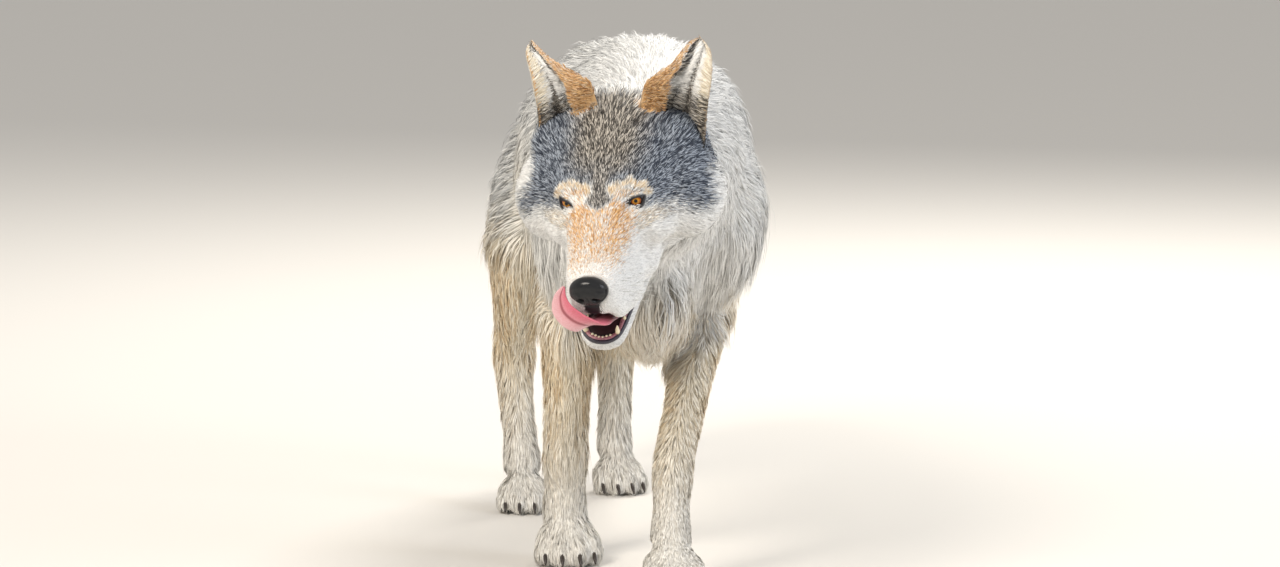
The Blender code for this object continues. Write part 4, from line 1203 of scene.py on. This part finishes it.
# ---- Lips and gums -----------------------------------------------------------------------------
# The lower lip is a roll of black wet skin round the jaw's rim, and the gums are low pink mounds
# that the teeth stand in. Both are bare flesh, grown onto the jaw.
JAW_RIM = [(43.0, 8), (38.5, 30), (34.5, 55), (30.5, 80), (26.5, 100), (21.0, 115)]
JAW_RIM += [(11.5, 123.5), (0, 126.0)]
TOOTH_ROW = [(38.0, 20), (34.0, 45), (29.0, 70), (24.5, 92), (20.5, 110), (12.0, 119.5)]
TOOTH_ROW += [(0, 121.5)]
RIM_HEIGHT = -74.0
LIP_SIZE, GUM_SIZE = (2.6, 3.0), (3.6, 3.4)  # half widths and half depths


def both_sides(rows):
    """A row of points from one side round the front to the other."""
    rows = np.array(rows, float)
    return np.vstack([rows, rows[-2::-1] * (-1, 1)])


def rim(rows, wide, deep):
    """A roll of one thickness round the front of the jaw."""
    rows = both_sides(rows)
    return np.column_stack([rows, np.tile([RIM_HEIGHT, wide, deep], (len(rows), 1))])


# Black skin wet with spit gleams in short broken lines, because it lies in folds; the tops of the
# folds are also painted a paler blue-grey, as painted sheen.
wet = {"Roughness": 0.34, "Coat Weight": 0.4, "Coat Roughness": 0.25}
lip_skin = new_material("skin_black_lip", wet)
folds_and_painted_sheen = add(lip_skin, "TexNoise", {"Scale": 260.0, "Detail": 3.0})  # folds 4 mm apart
# paler blue-grey on the tops of the folds: painted sheen over the black skin
two_toned(lip_skin, folds_and_painted_sheen, 0.4, 0.7, "#15131b", "#37304a")
add(lip_skin, "Bump", {"Strength": 0.4, "Distance": 0.001, "Height": folds_and_painted_sheen}, to="Normal")
roll = tube(rim(JAW_RIM, *LIP_SIZE), sides=14, steps=6)
piece("lip", tubes_mesh("lip", [(JAW, roll)]), lip_skin)

# Gums are wet flesh too, pink with darker blotches.
wet = {"Roughness": 0.35, "Coat Weight": 0.5, "Coat Roughness": 0.2}
gum_flesh = new_material("flesh_wet_gum", wet)
mottle = add(gum_flesh, "TexNoise", {"Scale": 180.0, "Detail": 3.0})  # patches 6 mm across
two_toned(gum_flesh, mottle, 0.42, 0.62, "#7a4552", "#d79aa2")
roll = tube(rim(TOOTH_ROW, *GUM_SIZE), sides=14, steps=6)
piece("gum", tubes_mesh("gum", [(JAW, roll)]), gum_flesh)


# ---- Teeth -------------------------------------------------------------------------------------
# Ivory enamel, amber at the gum: two curved canines in each jaw, six small lower incisors, and the
# pointed premolars that show behind them. All are sunk in the gums by a third of their length.
CANINE_LENGTH, CANINE_RADIUS, CANINE_LEAN, CANINE_CURVE = 19.5, 3.9, 2.0, 3.0
INCISOR_STEP, INCISOR_LENGTH, INCISOR_RADIUS = 4.5, 3.4, 2.5
PREMOLARS = [(25.5, 92, 5.5, 2.8), (28.0, 78, 7.0, 4.4), (31.0, 62, 8.5, 4.4), (34.0, 44, 9.5, 4.4)]
# up a tooth from its root to its tip, and how thick it is there
TOOTH_PROFILE = [(-0.3, 0.90), (0.0, 1.0), (0.35, 0.88), (0.70, 0.60), (0.92, 0.28), (1.0, 0.08)]


def tooth(x, ahead, root, length, radius, lean=0.0, back=0.0, sides=12):
    """Rows of a tapering tooth. A negative length points down; lean is outwards, back is curve."""
    rows = []
    for t, thick in TOOTH_PROFILE:
        bow = back * (t * (1.6 - 1.4 * t) if t > 0 else 0)
        place = (x + lean * max(t, 0), ahead + bow, root + length * t)
        rows.append((*place, radius * thick * 0.85, radius * thick))
    return tube(rows, reference=(0, 1, 0), sides=sides, steps=3)


# Enamel is hard and a little see-through: a clean highlight on ivory that yellows at the root.
polished = {"Roughness": 0.28, "Coat Weight": 0.4, "Coat Roughness": 0.1}
enamel = new_material("enamel_ivory", polished)
up_tooth = add(enamel, "Attribute", out=NUMBER, attribute_name="share")
two_toned(enamel, up_tooth, 0.18, 0.45, "#a8763a", "#e8dcbc")
set_of_teeth = []
for side in (-1, 1):
    canine = (CANINE_RADIUS, side * CANINE_LEAN, CANINE_CURVE)
    set_of_teeth.append((JAW, tooth(side * 19.5, 111, -74.5, CANINE_LENGTH, *canine)))
    set_of_teeth.append((HEAD, tooth(side * 15.5, 106, -80, -20.0, *canine)))
    for k in range(3):
        incisor = (side * (2.4 + INCISOR_STEP * k), 120.5 - 1.8 * k, -73.0)
        set_of_teeth.append((JAW, tooth(*incisor, INCISOR_LENGTH, INCISOR_RADIUS)))
    for x, ahead, tall, radius in PREMOLARS:
        set_of_teeth.append((JAW, tooth(side * x, ahead, -72.5, tall, radius)))
piece("teeth", tubes_mesh("teeth", set_of_teeth), enamel)


# ---- Claws -------------------------------------------------------------------------------------
# Blunt curved claws of dark horn, one on each toe, worn at the tip. Each grows out of the toe just
# above the pad.
CLAW_CURVE = [(-6, 19.5, 3.4, 4.4), (6, 20.0, 3.3, 4.3), (13, 18.0, 2.9, 3.7)]
CLAW_CURVE += [(19, 13.5, 2.2, 2.7), (22.5, 8.5, 1.0, 1.2)]  # ahead, up, half width and half depth

# Horn has a dull polish from wear, with streaks where it has grown.
horn = new_material("horn_dark_claw", {"Roughness": 0.42, "Specular IOR Level": 0.5})
streaks = add(horn, "TexNoise", {"Scale": 500.0, "Detail": 3.0})  # growth lines 2 mm apart
two_toned(horn, streaks, 0.35, 0.75, "#1b1715", "#4a3f37")
claws = []
for matrix in FEET.values():
    for toe in TOES:
        tip, reach = toe_line(*toe), toe[1]
        rows = [
            (tip * (1 + 0.002 * ahead), reach + 6 + ahead, up, wide, deep)
            for ahead, up, wide, deep in CLAW_CURVE
        ]
        claws.append((matrix, tube(rows, sides=12, steps=3)))
piece("claws", tubes_mesh("claws", claws), horn)


# ---- Coat --------------------------------------------------------------------------------------
# A winter-edge coat in overlapping locks: each hair is a thin blade that leaves the hide, bends
# over and lies along the body to the outline. It is made in pieces, one for each part of the body.
HAIR_ROOT = 0.6 * MM  # how deep a blade starts in the hide
PATCH = 0.003  # of the unwrap, that one blade covers
GUARD_HAIRS = 0.07  # share of the hairs that are longer, straighter and thinner
LEAST_HEIGHT = 0.8 * MM  # above the floor
THIN_OUT = 1.0

# Where a hair of each point's own length comes to lie, at a third, two thirds and all of it. It
# marches over the hide: at each step it moves on along the lie of the coat, just above the skin.
MARCH_LIFT, EDGE_GAP = 0.8 * MM, 1.0 * MM
hide_tree = BVHTree.FromPolygons(hide_points.tolist(), hide_quads.tolist())
guide_points, guide_normals = [], []
runs_free = (fields["ear"] > 0) | (fields["home"] == kinds.index("tail"))
walker, walk_way, walk_normal = hide_points.copy(), fields["way"].copy(), hide_normals.copy()
for _ in range(3):
    step = fields["length"] / 3
    aimed = walker + walk_way * step[:, None]
    lifted = aimed + walk_normal * MARCH_LIFT
    for i in range(len(hide_points)):
        found, normal, face, away_by = hide_tree.find_nearest(Vector(lifted[i]))
        # past the edge of an ear or the end of the tail a hair runs on freely
        past_edge = away_by > 0.5 * step[i] + EDGE_GAP or normal @ Vector(walk_normal[i]) < 0.3
        if runs_free[i] and past_edge:
            walker[i] = aimed[i]
            continue
        walker[i] = found
        corner = hide_quads[face, 0]
        walk_normal[i] = hide_normals[corner]
        walk_way[i] = fields["way"][corner]
    walk_way = tangent(walk_way, walk_normal)
    guide_points.append(walker - hide_points)
    guide_normals.append(walk_normal.copy())

# No hair grows on the nose pad, where the lids cover the face, or along the rim of the jaw.
NOSE_PAD = (26, 17, 22)
JAW_TOP, JAW_BACK = -80, -20
bald = np.linalg.norm((hide_at - NOSE_AT) / NOSE_PAD, axis=1) < 1.0
bald |= np.isin(used, np.flatnonzero(covered))
in_jaw = within(JAW, hide_points)
on_rim = (in_jaw[:, 2] > JAW_TOP) & (in_jaw[:, 1] > JAW_BACK)
bald |= (fields["home"] == kinds.index("lower_jaw")) & on_rim
fields["number"][bald] = 0

triangles = np.concatenate([hide_quads[:, [0, 1, 2]], hide_quads[:, [0, 2, 3]]])
quad_of = np.tile(np.arange(len(hide_quads)), 2)
corner_of = np.repeat([[0, 1, 2], [0, 2, 3]], len(hide_quads), axis=0)
a, b, c = (hide_points[triangles[:, k]] for k in range(3))
triangle_area = np.linalg.norm(np.cross(b - a, c - a), axis=1) / 2
home_of = fields["home"][triangles[:, 0]]
centre_of = (a + b + c) / 3


def unwrapped(quads):
    """An unwrap of some of the hide, as u and v for each corner of each of its faces."""
    used, local = np.unique(quads.ravel(), return_inverse=True)
    mesh = mesh_of("patch", hide_points[used], local, np.arange(len(quads)) * 4)
    obj = bpy.data.objects.new("patch", mesh)
    scene.collection.objects.link(obj)
    bpy.context.view_layer.objects.active = obj
    obj.select_set(True)
    mesh.uv_layers.new(name="OFBake")
    bpy.ops.object.mode_set(mode="EDIT")
    bpy.ops.mesh.select_all(action="SELECT")
    bpy.ops.uv.smart_project(angle_limit=math.radians(66), island_margin=0.002)
    bpy.ops.object.mode_set(mode="OBJECT")
    uv = np.empty(len(mesh.loops) * 2, np.float32)
    mesh.uv_layers["OFBake"].data.foreach_get("uv", uv)
    bpy.data.objects.remove(obj)
    return uv.reshape(-1, 4, 2)


def coat_piece(name, chosen, seed, most, short=False, droop=0.0, clump=0.6, lock=14, unruly=1.0):
    """Grows the hair of some of the hide's triangles as one mesh of at most this many triangles.

    A lock holds this many hairs, drawn together at their tips by clump. Droop lets them hang from
    the underside, and unruly scatters their directions. Short blades have a joint less.
    """
    rng = np.random.default_rng(SEED + seed)
    ids = np.flatnonzero(chosen)
    density = fields["number"][triangles[ids]].mean(1) * 1e4
    wanted = triangle_area[ids] * density
    blade_triangles = 3 if short else 5
    count = int(min(wanted.sum(), most / blade_triangles) * THIN_OUT)
    pick = rng.choice(len(ids), count, p=wanted / wanted.sum())
    tri = ids[pick]
    bary = rng.dirichlet((1, 1, 1), count)

    def at_root(values):
        return np.einsum("ij,ij...->i...", bary, values[triangles[tri]])

    root, normal = at_root(hide_points), unit(at_root(hide_normals))
    guides = [at_root(g) for g in guide_points]
    guide_n = [unit(at_root(n)) for n in guide_normals]
    depth_here, length_here, width_here = (at_root(fields[k]) for k in ("depth", "length", "width"))

    # locks: hairs near a leader share its lean and its lightness, and close up towards its tip
    leaders = rng.choice(count, max(count // lock, 1), replace=False)
    finder = KDTree(len(leaders))
    for i, leader in enumerate(leaders.tolist()):
        finder.insert(root[leader], i)
    finder.balance()
    own_lock = np.array([finder.find(p)[1] for p in root.tolist()])
    lean = unruly * (rng.normal(0, 0.15, len(leaders))[own_lock] + rng.normal(0, 0.10, count))
    long_as = rng.uniform(0.85, 1.10, len(leaders))[own_lock] * rng.uniform(0.78, 1.06, count)
    guard = rng.random(count) < GUARD_HAIRS
    long_as = np.where(guard, long_as * 1.22, long_as)
    high = rng.uniform(0.55, 1.0, len(leaders))[own_lock] * 0.35 + rng.uniform(0.30, 0.72, count)
    high = np.where(guard, high + 0.22, high)
    bow = unruly * rng.normal(0, 0.09, count)

    # the blade's joints, on the guide between its marched points, rising to the coat's height
    shares = (0.0, 0.5, 1.0) if short else (0.0, 1 / 3, 2 / 3, 1.0)
    lay = [np.zeros_like(root), *guides]
    lay_n = [normal, *guide_n]
    line = []
    for s in shares:
        k = s * 3
        low = min(int(k + 1e-9), 2)
        f = k - low
        over = (lay[low] * (1 - f) + lay[low + 1] * f) * long_as[:, None]
        n = unit(lay_n[low] * (1 - f) + lay_n[low + 1] * f)
        run = length_here * long_as * s
        beside = unit(np.cross(n, guides[2]))
        rise_to = depth_here * high * (1 - (1 - s) ** 2.2)
        point = root + over + n * rise_to[:, None] + beside * ((lean + bow * s) * run)[:, None]
        point[:, 2] -= droop * run * s * ramp(-n[:, 2], -0.2, 0.6)
        line.append([point - normal * HAIR_ROOT if s == 0 else point, n])
    for i, s in enumerate(shares[1:], 1):
        chief = line[i][0][leaders][own_lock]
        pull = clump * s**1.3 * np.where(guard, 0.4, 1.0)
        line[i][0] = line[i][0] + (chief - line[i][0]) * pull[:, None]
    for point, _ in line:
        point[:, 2] = np.maximum(point[:, 2], LEAST_HEIGHT)

    # blades lie flat on the coat, each rolled a little
    roll = rng.normal(0, 0.45, count)
    rows, shading = [], []
    tilt = rng.normal(size=(len(leaders), 3))[own_lock] * 0.12 + rng.normal(size=(count, 3)) * 0.07
    tilt *= unruly
    profile = (0.75, 1.0) if short else (0.65, 1.0, 0.80)
    for i, broad in enumerate(profile):
        point, n = line[i]
        ahead = unit(line[i + 1][0] - point)
        flat = unit(np.cross(ahead, n))
        flat = flat * np.cos(roll)[:, None] + n * np.sin(roll)[:, None]
        half = flat * (width_here * broad * np.where(guard, 0.7, 1.0) / 2)[:, None]
        rows += [point - half, point + half]
        shading += [unit(n + tilt)] * 2
    rows.append(line[-1][0])
    shading.append(unit(line[-1][1] + tilt))
    per = len(rows)
    points = np.stack(rows, 1).reshape(-1, 3)
    shading = np.stack(shading, 1).reshape(-1, 3)

    # the faces of one blade, repeated
    bands = [[2 * k, 2 * k + 1, 2 * k + 3, 2 * k + 2] for k in range(len(profile) - 1)]
    one = sum(bands, []) + [per - 3, per - 2, per - 1]
    loops = (np.arange(count)[:, None] * per + np.array(one)).ravel()
    sizes = np.array([4] * len(bands) + [3])
    starts = (np.arange(count)[:, None] * len(one) + (np.cumsum(sizes) - sizes)).ravel()
    mesh = mesh_of(name, points, loops, starts)
    mesh.normals_split_custom_set_from_vertices(shading)

    # each blade's patch of the unwrap sits at its root's place
    piece_quads = np.unique(quad_of[ids])
    uv = unwrapped(hide_quads[piece_quads])
    corner_uv = uv[np.searchsorted(piece_quads, quad_of[tri])[:, None], corner_of[tri]]
    root_uv = np.einsum("ij,ijk->ik", bary, corner_uv)
    steps = np.array([s for s in shares[:-1] for _ in range(2)] + [1.0])
    sideways = np.array([-0.5, 0.5] * len(profile) + [0.0])
    patch = np.stack([sideways, steps - 0.5], 1) * PATCH
    vertex_uv = root_uv[:, None] + patch[None]
    loop_uv = vertex_uv[:, one].reshape(-1, 2)
    mesh.uv_layers.new(name="OFBake").data.foreach_set("uv", loop_uv.astype(np.float32).ravel())

    def every(values):
        return np.repeat(values, per)

    nearest = triangles[tri][np.arange(count), bary.argmax(1)]
    where = {"ear": fields["ear"][nearest]}
    where |= {key: at_root(fields[key]) for key in EAR_FIELDS[1:]}
    found = marks(root, normal, at_root(fields["share"]), **where)
    set_numbers(mesh, {key: every(values) for key, values in found.items()})
    set_numbers(mesh, {"along": np.tile(steps, count)})
    own = rng.random(count)
    shared = rng.random(len(leaders))[own_lock]
    set_numbers(mesh, {"chance": every(own + (shared - own) * 0.35 * clump)})
    return piece(name, mesh, hair)


# Keratin is satin: each hair has a soft sheen, and the coat as a whole has none of a plastic's.
hair = new_material("keratin_wolf_hair", {"Roughness": 0.55, "Specular IOR Level": 0.30})
shader = hair.node_tree.nodes["Principled BSDF"]
hair.node_tree.links.new(coat_colour(hair), shader.inputs["Base Color"])
MIDLINE, FACE_FROM = 0.012, -48
left_side = centre_of[:, 0] > MIDLINE
fore_face = within(HEAD, centre_of)[:, 1] > FACE_FROM


def from_nodes(*names):
    """Which triangles of the hide lie in any of these solids."""
    return np.isin(home_of, [kinds.index(name) for name in names])


skull = from_nodes("head", "lower_jaw")
# name, where it grows, seed, most triangles, and how it lies
close = {"short": True, "clump": 0.25, "lock": 7, "unruly": 0.6}
coat_piece("coat_face", skull & fore_face, 1, 190000, **close)
coat_piece("coat_crown", skull & ~fore_face, 2, 160000, clump=0.30, lock=7, unruly=0.7)
in_ear = {"short": True, "clump": 0.25, "lock": 6, "unruly": 0.8}
coat_piece("coat_ears", home_of == len(kinds), 3, 75000, **in_ear)
for k, (word, here) in enumerate((("left", left_side), ("right", ~left_side))):
    for area, nodes, seed, most, droop, clump in (
        ("neck", "neck", 12, 150000, 0.15, 0.40),
        ("chest", "chest", 5, 135000, 0.35, 0.5),
        ("haunch", "hindquarters", 7, 95000, 0.30, 0.5),
    ):
        grows = from_nodes(nodes) & here
        coat_piece(f"coat_{area}_{word}", grows, seed + k, most, droop=droop, clump=clump)
coat_piece("coat_tail", from_nodes("tail"), 9, 75000, droop=0.2, clump=0.5)
on_legs = {"short": True, "clump": 0.3, "lock": 9, "unruly": 0.7}
fore_leg = from_nodes("foreleg", "forepaw")
coat_piece("coat_forelegs", fore_leg, 10, 120000, **on_legs)
hind_leg = from_nodes("gaskin", "hock", "hindpaw")
coat_piece("coat_hindlegs", hind_leg, 11, 90000, **on_legs)


# ---- Whiskers ----------------------------------------------------------------------------------
# Stiff tapering hairs in four rows on each side of the upper lip, that sweep out, back and down.
# Each fades from a grey root to a pale tip.
WHISKER_ROOTS = [(118, -52), (112, -60), (106, -68), (98, -50), (96, -62), (94, -74), (84, -56)]
WHISKER_ROOTS += [(82, -68), (80, -80), (70, -62), (68, -76), (108, -46), (88, -44), (101, -80)]
WHISKER_RADIUS, WHISKER_LENGTHS = 0.22, (38, 62)

whisker_hair = new_material("keratin_whisker", {"Roughness": 0.40})
along_it = add(whisker_hair, "Attribute", out=NUMBER, attribute_name="share")
two_toned(whisker_hair, along_it, 0.0, 0.8, "#8f8b82", "#f4f3ee")
whiskers = []
rng = np.random.default_rng(SEED)
for side in (-1, 1):
    inwards = Vector(pointing([(-side, 0, 0)])[0]).normalized()
    for ahead, up in WHISKER_ROOTS:
        start = Vector(placed(HEAD, [(side * 90, ahead, up)])[0])
        hit = hide_tree.ray_cast(start, inwards, 0.12)[0]
        if hit is None:
            continue
        x, ahead, up = within(HEAD, np.array([hit]))[0]
        reach = rng.uniform(*WHISKER_LENGTHS)
        back, down, out = rng.uniform(0.35, 0.8), rng.uniform(0.30, 0.75), rng.uniform(0.65, 0.90)
        rows = []
        for t in (0.0, 0.35, 0.7, 1.0):
            swept = t * t
            thick = WHISKER_RADIUS * (1 - 0.8 * t)
            aside_by = x + side * reach * out * (t - 0.45 * swept)
            forward_by = ahead - reach * back * (0.3 * t + 0.9 * swept)
            up_by = up - reach * down * (0.4 * t + 0.6 * swept)
            rows.append((aside_by, forward_by, up_by, thick, thick))
        whiskers.append((HEAD, tube(rows, reference=(0, 0, 1), sides=5, steps=4)))
piece("whiskers", tubes_mesh("whiskers", whiskers), whisker_hair)


# ---- Floor and light ---------------------------------------------------------------------------
# A plain pale studio floor that runs out of sight, under two soft boxes and an even white sky.
floor_mesh = bpy.data.meshes.new("floor")
floor_mesh.from_pydata([(-60, -60, 0), (60, -60, 0), (60, 60, 0), (-60, 60, 0)], [], [(0, 1, 2, 3)])
floor = bpy.data.objects.new("floor", floor_mesh)
scene.collection.objects.link(floor)
paint = new_material("floor_matt_paint", {"Base Color": hex_colour("#d9d6d1"), "Roughness": 0.9})
floor_mesh.materials.append(paint)


def soft_box(name, place, aim, size, power, colour):
    """A round soft light of this size in metres, aimed at a point."""
    lamp = bpy.data.lights.new(name, "AREA")
    lamp.shape, lamp.size, lamp.energy = "DISK", size, power
    lamp.color = hex_colour(colour)[:3]
    box = bpy.data.objects.new(name, lamp)
    scene.collection.objects.link(box)
    box.location = place
    box.rotation_euler = (Vector(place) - Vector(aim)).to_track_quat("Z", "Y").to_euler()
    box.visible_camera = False


soft_box("key", (-2.6, -3.2, 3.4), (0, -0.3, 0.4), 1.8, 190, "#fff6ea")
soft_box("fill", (3.4, -2.6, 1.9), (0, -0.3, 0.4), 2.4, 70, "#eef4ff")
soft_box("rim", (1.6, 3.2, 3.2), (0, 0, 0.5), 1.6, 150, "#fffaf2")
world = bpy.data.worlds.new("studio")
world.use_nodes = True
world.node_tree.nodes["Background"].inputs["Color"].default_value = hex_colour("#e9e7e4")
world.node_tree.nodes["Background"].inputs["Strength"].default_value = 0.75
scene.world = world
scene.view_settings.view_transform = "Standard"
